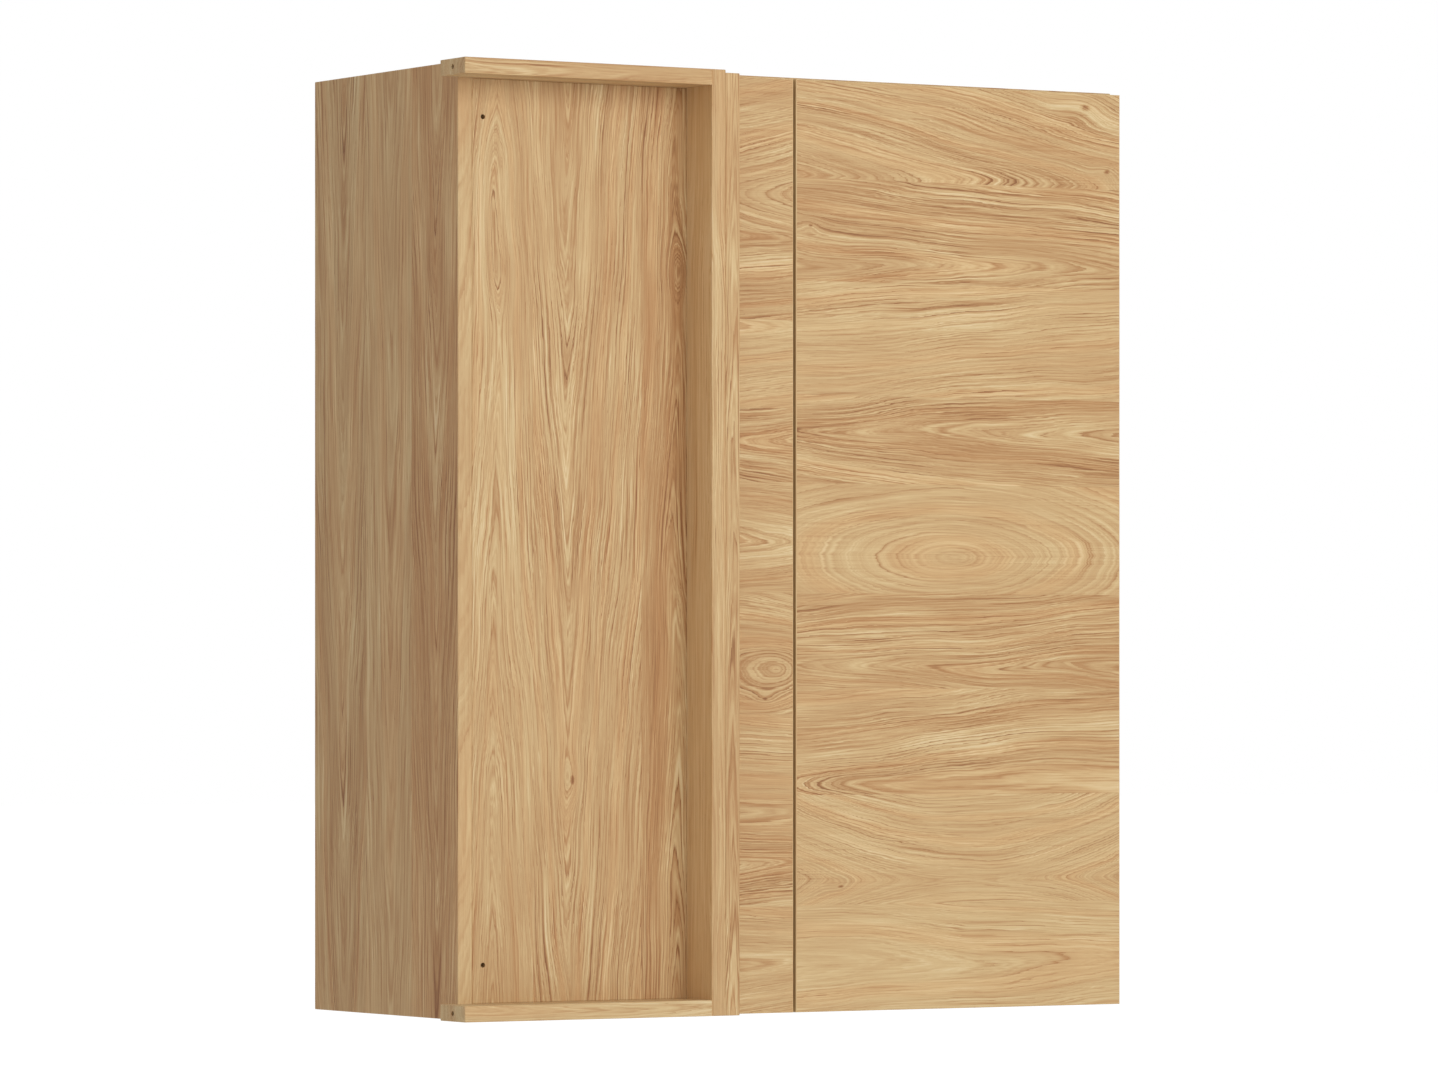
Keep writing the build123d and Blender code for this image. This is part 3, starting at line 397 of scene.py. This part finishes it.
def hickoryBoard(name, alongAxis, acrossAxis, planks, knots=(), seed=0.0, wobble=1.0, farFace=False, rawAxis=None,
                 otherWoodAndPaintedBounceFace=None):
    # alongAxis and acrossAxis are 0, 1 or 2 for X, Y or Z; depth counts from the near or the far face
    material, tree, shader, place = newMaterial(name + "Hickory", IOR=boardLook["ior"],
                                                Specular_IOR_Level=boardLook["specular"])
    part = put(tree, "ShaderNodeSeparateXYZ", {0: place}).outputs
    thinAxis = 3 - alongAxis - acrossAxis
    low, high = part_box(name)
    down = calc(tree, "SUBTRACT", part[thinAxis], (high if farFace else low)[thinAxis])
    local = put(tree, "ShaderNodeCombineXYZ", {0: part[alongAxis], 1: part[acrossAxis], 2: down}).outputs[0]
    start = planks[0]["start"]
    span = max(high[acrossAxis], planks[-1]["start"]) + 0.01 - start
    step = stretchRange(tree, part[acrossAxis], start, start + span)
    # one step of a ramp for each plank; a ramp can't go below zero, so its values are raised by one
    places = [(entry["start"] - start) / span for entry in planks]
    values = []
    for row in range(3):
        stops = [(spot, tuple(1 + value for value in entry["rows"][row]) + (1.0,))
                 for spot, entry in zip(places, planks)]
        split = put(tree, "ShaderNodeSeparateColor", {0: ramp(tree, step, stops, "CONSTANT")}).outputs
        values += [calc(tree, "SUBTRACT", split[index], 1.0) for index in range(3)]
    labels = ("Apex", "Centre", "Stretch", "Taper", "Bow", "Depth", "Pitch", "Tone", "Contrast")
    inputs = dict(zip(labels, values))
    shuffled = [(spot, ((index * 37 % 11) / 11, entry["pink"], 0.0, 1.0))
                for index, (spot, entry) in enumerate(zip(places, planks))]
    plankSeed, pink = put(tree, "ShaderNodeSeparateColor", {0: ramp(tree, step, shuffled, "CONSTANT")}).outputs[:2]
    bend, spot = 0.0, 0.0
    for along, across, size, dark in knots:
        knot = useGroup(tree, woodKnot, {"Place": local, "Middle": (along, across, 0.0), "Size": size, "Dark": dark})
        bend = calc(tree, "ADD", knot["Bend"], bend)
        spot = calc(tree, "MAXIMUM", knot["Spot"], spot)
    if otherWoodAndPaintedBounceFace:
        # one long face of the board is cut from other wood; on the post's inner face its lighter, pinker tone is
        # also painted bounce light
        onOtherWoodAndPaintedBounceFace = calc(tree, "LESS_THAN", part[otherWoodAndPaintedBounceFace["axis"]], otherWoodAndPaintedBounceFace["limit"])
        inputs["Pink"] = pink
        for label in ("Tone", "Pink", "Contrast"):
            inputs[label] = put(tree, "ShaderNodeMix", {0: onOtherWoodAndPaintedBounceFace, 2: inputs[label], 3: otherWoodAndPaintedBounceFace[label]}).outputs[0]
        pink = inputs["Pink"]
    inputs.update({"Place": local, "Pink": pink, "Bend": bend, "Spot": spot, "Wobble": wobble,
                   "Seed": calc(tree, "MULTIPLY_ADD", plankSeed, 9.0, seed)})
    figure = useGroup(tree, hickory, inputs)
    core = boardCore(tree, part, name, thinAxis, rawAxis)
    chips = useGroup(tree, chipCore, {"Place": place})
    feed(tree, shader.inputs["Base Color"], blendColour(tree, core, figure["Colour"], chips["Colour"]))
    dulled = calc(tree, "MULTIPLY_ADD", core, boardLook["coreDulling"], figure["Roughness"], clamp=True)
    feed(tree, shader.inputs["Roughness"], dulled)
    height = put(tree, "ShaderNodeMix", {0: core, 2: figure["Height"], 3: chips["Height"]}).outputs[0]
    bumpInto(tree, shader, height, boardLook["bumpDepth"], boardLook["bumpStrength"])
    dress(material, name)


doorPlanks = [
    plank(0.000, 0.42, 0.048, taper=0.05, depth=0.014, pitch=0.0058, tone=0.65, contrast=0.7),
    plank(0.108, 0.19, 0.132, taper=0.01, bow=-1.10, depth=0.004, pitch=0.0050, tone=0.59, contrast=0.8),
    plank(0.220, 0.10, 0.231, stretch=0.10, taper=-0.09, depth=0.003, pitch=0.0060, tone=0.54),
    plank(0.327, 0.30, 0.352, taper=-0.07, depth=0.006, pitch=0.0066, tone=0.49, contrast=1.1),
    plank(0.424, 0.185, 0.463, stretch=0.30, taper=0.03, depth=0.006, pitch=0.0085, tone=0.58, contrast=0.6),
    plank(0.535, 0.30, 0.592, taper=-0.07, depth=0.003, pitch=0.0060, tone=0.49, contrast=1.1),
    plank(0.624, 0.10, 0.605, taper=-0.08, depth=0.012, pitch=0.0062, tone=0.58, contrast=0.9),
    plank(0.741, 0.30, 0.762, taper=0.07, depth=0.005, pitch=0.0066, tone=0.48, contrast=1.15),
    plank(0.846, 0.10, 0.850, taper=0.17, bow=0.10, depth=0.008, pitch=0.0060, tone=0.54),
]
doorKnots = [(0.345, 0.932, 0.007, 1.0), (0.372, 0.866, 0.004, 1.0), (0.009, 0.799, 0.003, 0.8),
             (0.045, 0.127, 0.0035, 0.8)]
hickoryBoard("door_panel", 0, 2, doorPlanks, doorKnots, seed=1.0)
fillerPlanks = [
    plank(0.000, 0.10, 0.050, taper=0.04, depth=0.010, pitch=0.0050, tone=0.57, contrast=0.8),
    plank(0.108, -0.05, 0.150, taper=0.10, depth=0.004, pitch=0.0050, tone=0.48, contrast=1.1),
    plank(0.180, -0.05, 0.200, taper=0.04, depth=0.010, pitch=0.0050, tone=0.56, contrast=0.8),
    plank(0.300, -0.03, 0.345, stretch=0.45, taper=0.16, depth=0.002, pitch=0.0070, tone=0.52),
    plank(0.424, -0.05, 0.480, taper=0.12, depth=0.004, pitch=0.0060, tone=0.56),
    plank(0.535, -0.05, 0.580, taper=-0.12, depth=0.006, pitch=0.0060, tone=0.46, contrast=1.1),
    plank(0.612, -0.10, 0.700, taper=0.06, depth=0.010, pitch=0.0060, tone=0.59, contrast=0.8),
    plank(0.700, -0.05, 0.780, taper=0.08, depth=0.004, pitch=0.0050, tone=0.52, contrast=1.1),
    plank(0.790, -0.05, 0.830, taper=-0.22, depth=0.010, pitch=0.0070, tone=0.56, contrast=0.9),
]
hickoryBoard("filler_panel", 0, 2, fillerPlanks, [(-0.045, 0.318, 0.003, 0.7)], seed=4.0)

blindPlanks = [
    plank(-0.380, 0.32, -0.348, taper=0.07, depth=0.003, pitch=0.0060, tone=0.55),
    plank(-0.305, 0.24, -0.264, taper=-0.08, depth=0.003, pitch=0.0060, tone=0.51, contrast=1.1),
    # the plank beside the post is browner wood, and its low tone also holds painted shade from the post
    plank(-0.179, 0.43, -0.138, taper=0.05, depth=0.006, pitch=0.0055, tone=0.41),
]
blindKnots = [(0.237, -0.259, 0.005, 1.0), (0.850, -0.342, 0.009, 0.15), (0.800, -0.346, 0.008, 0.12),
              (0.748, -0.339, 0.009, 0.15), (0.750, -0.134, 0.006, 0.25)]
hickoryBoard("blind_panel", 2, 0, blindPlanks, blindKnots, seed=2.0)

sidePlanks = [
    plank(-0.310, 0.30, -0.256, taper=-0.07, depth=0.004, pitch=0.0080, tone=0.45, pink=0.7),
    plank(-0.206, 0.60, -0.162, taper=-0.04, depth=0.010, pitch=0.0085, tone=0.54, contrast=0.8, pink=0.3),
    plank(-0.111, 0.45, -0.062, taper=-0.07, depth=0.004, pitch=0.0080, tone=0.48, pink=0.1),
]
sideFront = {"axis": 1, "limit": -0.2992, "Tone": 0.57, "Pink": 0.0, "Contrast": 0.45}
hickoryBoard("side_panel_left", 2, 1, sidePlanks, seed=3.0, rawAxis=1, otherWoodAndPaintedBounceFace=sideFront)
hickoryBoard("side_panel_right", 2, 1, sidePlanks, seed=5.0, rawAxis=1, farFace=True, otherWoodAndPaintedBounceFace=sideFront)

# the post's inner face is painted lighter and pinker: painted bounce light from the blind panel, partly a warmer
# plank
postInnerPaintedBounce = {"axis": 0, "limit": -0.1256, "Tone": 0.78, "Pink": 1.0, "Contrast": 0.7}
hickoryBoard("frame_post", 2, 0, [plank(-0.130, 0.4, -0.155, taper=0.015, depth=0.010, pitch=0.0042, tone=0.53,
                                        contrast=0.8)], seed=6.0, otherWoodAndPaintedBounceFace=postInnerPaintedBounce)
hickoryBoard("filler_strip", 2, 0, [plank(-0.112, 0.5, -0.101, taper=0.03, depth=0.004, pitch=0.0055, tone=0.50,
                                          contrast=1.1)], seed=7.0, wobble=0.8)
hickoryBoard("frame_rail_bottom", 0, 2, [plank(-0.02, -0.2, 0.012, taper=0.03, depth=0.008, pitch=0.0045,
                                               tone=0.60, contrast=0.8)], seed=8.0)
hickoryBoard("frame_rail_top", 0, 2, [plank(0.90, -0.2, 0.940, taper=0.03, depth=0.008, pitch=0.0045,
                                            tone=0.58, contrast=0.8)], seed=8.6)
casePlanks = [
    plank(-0.310, 0.1, -0.270, taper=0.06, depth=0.004, pitch=0.0060, tone=0.52),
    plank(-0.220, 0.0, -0.150, taper=-0.05, depth=0.010, pitch=0.0060, tone=0.56),
    plank(-0.100, 0.1, -0.050, taper=0.04, depth=0.006, pitch=0.0055, tone=0.49),
]
for index, name in enumerate(("bottom_panel", "top_panel", "shelf_lower", "shelf_upper")):
    hickoryBoard(name, 0, 1, casePlanks, seed=9.0 + index, rawAxis=1 if "panel" in name else None)
for name in ("door_edge_bands", "filler_edge_bands"):
    hickoryBoard(name, 2, 0, [plank(-0.12, 0.0, -0.15, taper=0.004, depth=0.010, pitch=0.0045, tone=0.68,
                                    contrast=0.4)], seed=10.0)
print("boards dressed")


# finishes of the fittings
mottleLook = {
    "hairlines": (40.0, 900.0, 900.0), "scratchLow": 0.66, "scratchHigh": 0.74,
    "fineShare": 0.35, "cloudShare": 0.65, "low": 0.30, "high": 0.70,
}


def makeMottle():
    # cloudy and fine unevenness, pulled long by Stretch, that plating, castings and plastics share
    tree, entry, leave = newGroup(
        "surfaceMottle", {"Place": (0.0, 0.0, 0.0), "Stretch": (1.0, 1.0, 1.0), "Cloud Scale": 60.0,
                          "Fine Scale": 900.0},
        {"Cloud": "NodeSocketFloat", "Fine": "NodeSocketFloat", "Scratch": "NodeSocketFloat"})
    pulledPlace = put(tree, "ShaderNodeVectorMath", {0: entry["Place"], 1: entry["Stretch"]}, operation="MULTIPLY")
    feed(tree, leave["Cloud"], noise(tree, entry["Place"], entry["Cloud Scale"], 3.0, 0.55))
    feed(tree, leave["Fine"], noise(tree, pulledPlace.outputs[0], entry["Fine Scale"], 3.0, 0.6))
    hairline = put(tree, "ShaderNodeVectorMath", {0: entry["Place"], 1: mottleLook["hairlines"]},
                   operation="MULTIPLY")
    feed(tree, leave["Scratch"], stretchRange(tree, noise(tree, hairline.outputs[0], 1.0, 1.0),
                                              mottleLook["scratchLow"], mottleLook["scratchHigh"]))
    return tree


mottle = makeMottle()


def fitting(name, dark, light, roughness, metallic=0.0, bump=0.00004, stretch=(1.0, 1.0, 1.0), fineScale=900.0,
            cloudScale=60.0, scratch=0.0, **values):
    material, tree, shader, place = newMaterial(name, Metallic=metallic, **values)
    mask = useGroup(tree, mottle, {"Place": place, "Stretch": stretch, "Cloud Scale": cloudScale,
                                   "Fine Scale": fineScale})
    worn = calc(tree, "MULTIPLY_ADD", mask["Fine"], mottleLook["fineShare"],
                calc(tree, "MULTIPLY", mask["Cloud"], mottleLook["cloudShare"]))
    worn = calc(tree, "MULTIPLY_ADD", mask["Scratch"], scratch, worn)
    low, high = mottleLook["low"], mottleLook["high"]
    feed(tree, shader.inputs["Base Color"], ramp(tree, worn, [(low, dark), (high, light)]))
    feed(tree, shader.inputs["Roughness"], stretchRange(tree, worn, low, high, *roughness))
    bumpInto(tree, shader, mask["Fine"], bump)
    return material


finishes = {
    "nickel_steel": fitting("nickelSteel", colour(176, 172, 164), colour(208, 205, 198), (0.22, 0.36), 1.0,
                            stretch=(1.0, 1.0, 0.15), scratch=0.15),
    "zinc_screw": fitting("zincScrew", colour(158, 162, 166), colour(204, 205, 198), (0.26, 0.44), 1.0,
                          cloudScale=240.0, scratch=0.2),
    "zinc_casting": fitting("zincCasting", colour(138, 140, 144), colour(176, 178, 180), (0.42, 0.58), 1.0,
                            bump=0.00012, fineScale=1600.0),
    "grey_plastic": fitting("greyPlastic", colour(150, 152, 154), colour(170, 171, 172), (0.42, 0.55),
                            bump=0.00006, fineScale=2200.0),
    "brown_plastic": fitting("brownPlastic", colour(122, 90, 60), colour(146, 110, 76), (0.42, 0.55),
                             bump=0.00006, fineScale=2200.0),
    "soft_bumper": fitting("softBumper", colour(196, 198, 194), colour(218, 219, 214), (0.20, 0.34),
                           bump=0.00002, Subsurface_Weight=0.3, Subsurface_Scale=0.003),
    "magnet": fitting("sinteredMagnet", colour(66, 66, 70), colour(96, 96, 100), (0.45, 0.62), 0.6,
                      bump=0.0001, fineScale=1800.0),
    "dowel_beech": fitting("dowelBeech", colour(188, 144, 98), colour(222, 184, 138), (0.5, 0.65),
                           stretch=(0.25, 0.25, 0.25), bump=0.0001, fineScale=1400.0),
}


hardboardLook = {
    "fibres": 900.0, "clouds": 25.0,        # waves per metre
    "shades": [(0.34, colour(98, 67, 44)), (0.50, colour(132, 96, 66)), (0.66, colour(166, 128, 95))],
    "laminate": {"Centre": 0.05, "Taper": 0.09, "Pitch": 0.007, "Tone": 0.58, "Contrast": 0.8, "Seed": 12.0},
    "laminateSkin": 0.0002, "fibreRoughness": 0.75, "laminateRoughness": 0.45,
}


def hardboardFinish():
    # pressed brown fibre behind, pale laminate with a fine grain towards the shelves
    look = hardboardLook
    material, tree, shader, place = newMaterial("hardboardSheet")
    part = put(tree, "ShaderNodeSeparateXYZ", {0: place}).outputs
    front = calc(tree, "LESS_THAN", part[1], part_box("back_panel")[0].y + look["laminateSkin"])
    fibres = noise(tree, place, look["fibres"], 4.0, 0.7)
    clouds = noise(tree, place, look["clouds"], 3.0)
    mixed = calc(tree, "MULTIPLY_ADD", fibres, 0.75, calc(tree, "MULTIPLY", clouds, 0.25))
    local = put(tree, "ShaderNodeCombineXYZ", {0: part[2], 1: part[0], 2: part[1]}).outputs[0]
    figure = useGroup(tree, hickory, {"Place": local, **look["laminate"]})
    rear = ramp(tree, mixed, look["shades"])
    feed(tree, shader.inputs["Base Color"], blendColour(tree, front, rear, figure["Colour"]))
    rough = stretchRange(tree, front, 0.0, 1.0, look["fibreRoughness"], look["laminateRoughness"])
    feed(tree, shader.inputs["Roughness"], rough)
    bumpInto(tree, shader, fibres, 0.0002, 0.5)
    return material


finishes["hardboard"] = hardboardFinish()
for name, slot in slotOf.items():
    if slot in finishes:
        dress(finishes[slot], name)
print("fittings dressed")


# screws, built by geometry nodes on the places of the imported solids
def feedNodes(tree, kind, inputs=None, **settings):
    return put(tree, kind, inputs, **settings).outputs


def newGeometryTree(name, inputs):
    tree = bpy.data.node_groups.new(name, "GeometryNodeTree")
    tree.interface.new_socket("Geometry", in_out="INPUT", socket_type="NodeSocketGeometry")
    for label, (kind, value) in inputs.items():
        socket = tree.interface.new_socket(label, in_out="INPUT", socket_type=kind)
        if value is not None:
            socket.default_value = value
    tree.interface.new_socket("Geometry", in_out="OUTPUT", socket_type="NodeSocketGeometry")
    return tree, feedNodes(tree, "NodeGroupInput"), put(tree, "NodeGroupOutput").inputs


def vectorOf(tree, x, y, z):
    return feedNodes(tree, "ShaderNodeCombineXYZ", {0: x, 1: y, 2: z})[0]


def moved(tree, geometry, shift=None, turn=None, size=None):
    inputs = {"Geometry": geometry}
    for label, value in (("Translation", shift), ("Rotation", turn), ("Scale", size)):
        if value is not None:
            inputs[label] = value
    return feedNodes(tree, "GeometryNodeTransform", inputs)[0]


screwShape = {
    "threadDepth": 0.32,                        # share of the thread's pitch
    "coreLength": 0.85, "threadLength": 0.80,   # shares of the screw's length
    "recessLong": 1.15, "recessWide": 0.24,     # shares of the head's radius
    "recessLifts": (0.85, 0.82), "coreSides": 20, "headSides": 32,
}


def makeScrewTree():
    # a screw stands on its seat with the head up: threaded core, point, domed head with a cross recess
    tree, entry, leave = newGeometryTree("crossScrews", {
        "Head Radius": ("NodeSocketFloat", 0.004), "Head Height": ("NodeSocketFloat", 0.002),
        "Shank Radius": ("NodeSocketFloat", 0.002), "Length": ("NodeSocketFloat", 0.013),
        "Thread Pitch": ("NodeSocketFloat", 0.0012), "Turn Seed": ("NodeSocketInt", 1),
        "Finish": ("NodeSocketMaterial", None)})
    length, shank, pitch = entry["Length"], entry["Shank Radius"], entry["Thread Pitch"]
    threadDepth = calc(tree, "MULTIPLY", pitch, screwShape["threadDepth"])
    coreRadius = calc(tree, "SUBTRACT", shank, threadDepth)
    coreLength = calc(tree, "MULTIPLY", length, screwShape["coreLength"])
    sides = screwShape["coreSides"]
    core = feedNodes(tree, "GeometryNodeMeshCylinder",
                     {"Vertices": sides, "Radius": coreRadius, "Depth": coreLength})["Mesh"]
    core = moved(tree, core, vectorOf(tree, 0.0, 0.0, calc(tree, "MULTIPLY", coreLength, -0.5)))
    tip = feedNodes(tree, "GeometryNodeMeshCone",
                    {"Vertices": sides, "Radius Top": 0.0, "Radius Bottom": coreRadius,
                     "Depth": calc(tree, "SUBTRACT", length, coreLength)})["Mesh"]
    coreEnd = vectorOf(tree, 0.0, 0.0, calc(tree, "MULTIPLY", coreLength, -1.0))
    tip = moved(tree, tip, coreEnd, (math.pi, 0.0, 0.0))
    threadLength = calc(tree, "MULTIPLY", length, screwShape["threadLength"])
    spiral = feedNodes(tree, "GeometryNodeCurveSpiral",
                       {"Resolution": 16, "Rotations": calc(tree, "DIVIDE", threadLength, pitch),
                        "Start Radius": coreRadius, "End Radius": coreRadius, "Height": threadLength})[0]
    profile = feedNodes(tree, "GeometryNodeCurvePrimitiveCircle", {"Resolution": 4, "Radius": threadDepth})["Curve"]
    thread = feedNodes(tree, "GeometryNodeCurveToMesh",
                       {"Curve": spiral, "Profile Curve": profile, "Fill Caps": True})[0]
    thread = moved(tree, thread, coreEnd)

    radius, rise = entry["Head Radius"], entry["Head Height"]
    dome = feedNodes(tree, "GeometryNodeMeshUVSphere", {
        "Segments": screwShape["headSides"], "Rings": screwShape["headSides"] // 2, "Radius": 1.0})["Mesh"]
    # the sphere's lower half is pressed flat onto the seat
    spot = feedNodes(tree, "ShaderNodeSeparateXYZ", {0: feedNodes(tree, "GeometryNodeInputPosition")[0]})
    pressed = vectorOf(tree, spot[0], spot[1], calc(tree, "MAXIMUM", spot[2], 0.0))
    dome = feedNodes(tree, "GeometryNodeSetPosition", {"Geometry": dome, "Position": pressed})[0]
    dome = moved(tree, dome, size=vectorOf(tree, radius, radius, rise))
    recess = put(tree, "GeometryNodeMeshBoolean", operation="DIFFERENCE")
    tree.links.new(dome, recess.inputs["Mesh 1"])
    long = calc(tree, "MULTIPLY", radius, screwShape["recessLong"])
    short = calc(tree, "MULTIPLY", radius, screwShape["recessWide"])
    # the two arms end at different depths, because coplanar floors would not close
    for width, height, share in zip((long, short), (short, long), screwShape["recessLifts"]):
        lift = vectorOf(tree, 0.0, 0.0, calc(tree, "MULTIPLY", rise, share))
        bar = feedNodes(tree, "GeometryNodeMeshCube", {"Size": vectorOf(tree, width, height, rise)})["Mesh"]
        tree.links.new(moved(tree, bar, lift), recess.inputs["Mesh 2"])
    head = recess.outputs["Mesh"]
    join = put(tree, "GeometryNodeJoinGeometry")
    for part in (core, tip, thread, head):
        tree.links.new(part, join.inputs[0])
    aim = feedNodes(tree, "GeometryNodeInputNamedAttribute", {"Name": "aim"}, data_type="FLOAT_VECTOR")[0]
    facing = feedNodes(tree, "FunctionNodeAlignRotationToVector", {"Vector": aim}, axis="Z")[0]
    placed = feedNodes(tree, "GeometryNodeInstanceOnPoints",
                       {"Points": entry["Geometry"], "Instance": join.outputs[0], "Rotation": facing})[0]
    spin = put(tree, "FunctionNodeRandomValue", data_type="FLOAT")
    feed(tree, spin.inputs[3], math.pi)
    feed(tree, spin.inputs["Seed"], entry["Turn Seed"])
    spun = feedNodes(tree, "GeometryNodeRotateInstances",
                     {"Instances": placed, "Rotation": vectorOf(tree, 0.0, 0.0, spin.outputs[1])})[0]
    real = feedNodes(tree, "GeometryNodeRealizeInstances", {"Geometry": spun})[0]
    done = feedNodes(tree, "GeometryNodeSetMaterial", {"Geometry": real, "Material": entry["Finish"]})[0]
    tree.links.new(done, leave[0])
    return tree


def looseParts(name):
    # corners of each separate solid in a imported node, always in the same order, from a merged copy
    mesh = bmesh.new()
    mesh.from_mesh(nodes[name].data)
    bmesh.ops.remove_doubles(mesh, verts=mesh.verts, dist=1e-6)
    mesh.verts.index_update()
    seen = set()
    for first in mesh.verts:
        if first.index in seen:
            continue
        seen.add(first.index)
        queue, corners = [first], []
        while queue:
            vertex = queue.pop()
            corners.append(vertex.co.copy())
            for edge in vertex.link_edges:
                other = edge.other_vert(vertex)
                if other.index not in seen:
                    seen.add(other.index)
                    queue.append(other)
        yield corners
    mesh.free()


def measureScrew(corners):
    # seat, direction of the head, and the sizes of one packed screw
    low = Vector([min(corner[axis] for corner in corners) for axis in range(3)])
    high = Vector([max(corner[axis] for corner in corners) for axis in range(3)])
    size = high - low
    axis = max(range(3), key=lambda index: size[index])
    middle = (low + high) / 2

    def away(corner):
        return sum((corner[index] - middle[index]) ** 2 for index in range(3) if index != axis) ** 0.5

    headRadius = max(away(corner) for corner in corners)
    headCorners = [corner[axis] for corner in corners if away(corner) > headRadius * 0.98]
    side = 1 if sum(headCorners) / len(headCorners) > middle[axis] else -1
    crown = (high if side > 0 else low)[axis]
    tip = (low if side > 0 else high)[axis]
    headHeight = abs(max(headCorners) - min(headCorners))
    shankRadius = max(away(corner) for corner in corners if abs(corner[axis] - tip) < 0.0001)
    aim = Vector([side if index == axis else 0.0 for index in range(3)])
    seat = middle.copy()
    seat[axis] = crown - side * headHeight
    return seat, aim, {"Head Radius": headRadius, "Head Height": headHeight, "Shank Radius": shankRadius,
                       "Length": abs(seat[axis] - tip)}


def bakePiece(name, mesh, tree, inputs):
    # the modifier's inputs are set by their sockets' identifiers, then its result becomes a plain mesh
    piece = bpy.data.objects.new(name, mesh)
    scene.collection.objects.link(piece)
    modifier = piece.modifiers.new("build", "NODES")
    modifier.node_group = tree
    for item in tree.interface.items_tree:
        if item.item_type == "SOCKET" and item.in_out == "INPUT" and item.name in inputs:
            modifier[item.identifier] = inputs[item.name]
    bpy.context.view_layer.update()
    graph = bpy.context.evaluated_depsgraph_get()
    result = bpy.data.meshes.new_from_object(piece.evaluated_get(graph), depsgraph=graph)
    piece.modifiers.clear()
    piece.data = result
    return piece


def standFor(piece, node):
    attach(piece, nodes[node]["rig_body"])
    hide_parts(node)


screwTree = makeScrewTree()
screwPitch = {"frame_screws": 0.0018, "filler_screws": 0.0018, "hinge_cup_screws": 0.0014,
              "hinge_plate_screws": 0.0016, "hinge_adjusting_screws": 0.0007, "hanger_fixing_screws": 0.0014,
              "hanger_adjusting_screws": 0.0007, "latch_screws": 0.0012}
for index, (node, pitch) in enumerate(screwPitch.items()):
    measured = [measureScrew(corners) for corners in looseParts(node)]
    mesh = bpy.data.meshes.new(node + "Places")
    mesh.from_pydata([seat for seat, aim, sizes in measured], [], [])
    aims = mesh.attributes.new("aim", "FLOAT_VECTOR", "POINT")
    for spot, (seat, aim, sizes) in enumerate(measured):
        aims.data[spot].vector = aim
    sizes = dict(measured[0][2])
    sizes.update({"Thread Pitch": pitch, "Turn Seed": index + 1, "Finish": finishes["zinc_screw"]})
    standFor(bakePiece("threaded_" + node, mesh, screwTree, sizes), node)
    print("screws:", node, len(measured))


# floor, light and camera
studio = {
    "floorHeight": -0.30, "floorSize": 60.0, "floorGlow": 0.55, "ambient": 0.60, "aim": (0.0, -0.3, 0.5),
    "softboxes": {      # place, width in metres, power in watts
        "frontSoftbox": ((0.35, -4.5, 1.6), 2.8, 88.0),
        "rearSoftbox": ((1.6, 4.4, 1.8), 2.4, 45.0),
    },
}


def makeFloor():
    half = studio["floorSize"] / 2
    mesh = bpy.data.meshes.new("floor")
    corners = [(-half, -half), (half, -half), (half, half), (-half, half)]
    mesh.from_pydata([(x, y, studio["floorHeight"]) for x, y in corners], [], [(0, 1, 2, 3)])
    floor = bpy.data.objects.new("floor", mesh)
    scene.collection.objects.link(floor)
    material, tree, shader, place = newMaterial("paleFloor", Roughness=0.8)
    clouds = noise(tree, place, 3.0, 3.0)
    shades = [(0.3, colour(231, 231, 231)), (0.7, colour(236, 236, 236))]
    feed(tree, shader.inputs["Base Color"], ramp(tree, clouds, shades))
    feed(tree, shader.inputs["Emission Color"], (1.0, 1.0, 1.0, 1.0))
    seen = put(tree, "ShaderNodeLightPath").outputs["Is Camera Ray"]
    feed(tree, shader.inputs["Emission Strength"], calc(tree, "MULTIPLY", seen, studio["floorGlow"]))
    mesh.materials.append(material)
    floor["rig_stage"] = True


def makeWorld():
    world = bpy.data.worlds.new("paleStudio")
    scene.world = world
    world.use_nodes = True
    tree = world.node_tree
    background = tree.nodes["Background"]
    background.inputs["Color"].default_value = (1.0, 1.0, 1.0, 1.0)
    seen = put(tree, "ShaderNodeLightPath").outputs["Is Camera Ray"]
    feed(tree, background.inputs["Strength"], stretchRange(tree, seen, 0.0, 1.0, studio["ambient"], 1.0))


def makeSoftboxes():
    for name, (place, width, power) in studio["softboxes"].items():
        lamp = bpy.data.lights.new(name, "AREA")
        lamp.shape = "SQUARE"
        lamp.size = width
        lamp.energy = power
        light = bpy.data.objects.new(name, lamp)
        light.location = place
        light.rotation_euler = (Vector(studio["aim"]) - Vector(place)).to_track_quat("-Z", "Y").to_euler()
        scene.collection.objects.link(light)


cameraView = {
    "place": (-3.9993, -6.7584, 0.32566), "towards": (0.51805, 0.85535, 0.0), "lens": 186.90,
    "sensor": 36.0, "shiftUp": 0.1053, "reach": 200.0,
}


def makeCamera():
    lens = bpy.data.cameras.new("camera")
    lens.lens = cameraView["lens"]
    lens.sensor_width = cameraView["sensor"]
    lens.shift_y = cameraView["shiftUp"]
    lens.clip_end = cameraView["reach"]
    camera = bpy.data.objects.new("camera", lens)
    camera.location = cameraView["place"]
    camera.rotation_euler = Vector(cameraView["towards"]).to_track_quat("-Z", "Y").to_euler()
    scene.collection.objects.link(camera)
    scene.camera = camera


makeFloor()
makeWorld()
makeSoftboxes()
makeCamera()
scene.view_settings.view_transform = "Standard"
print("studio ready")

sizes = {"cad": [list(cadLow), list(cadHigh)], "visual": [list(corner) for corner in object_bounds()]}
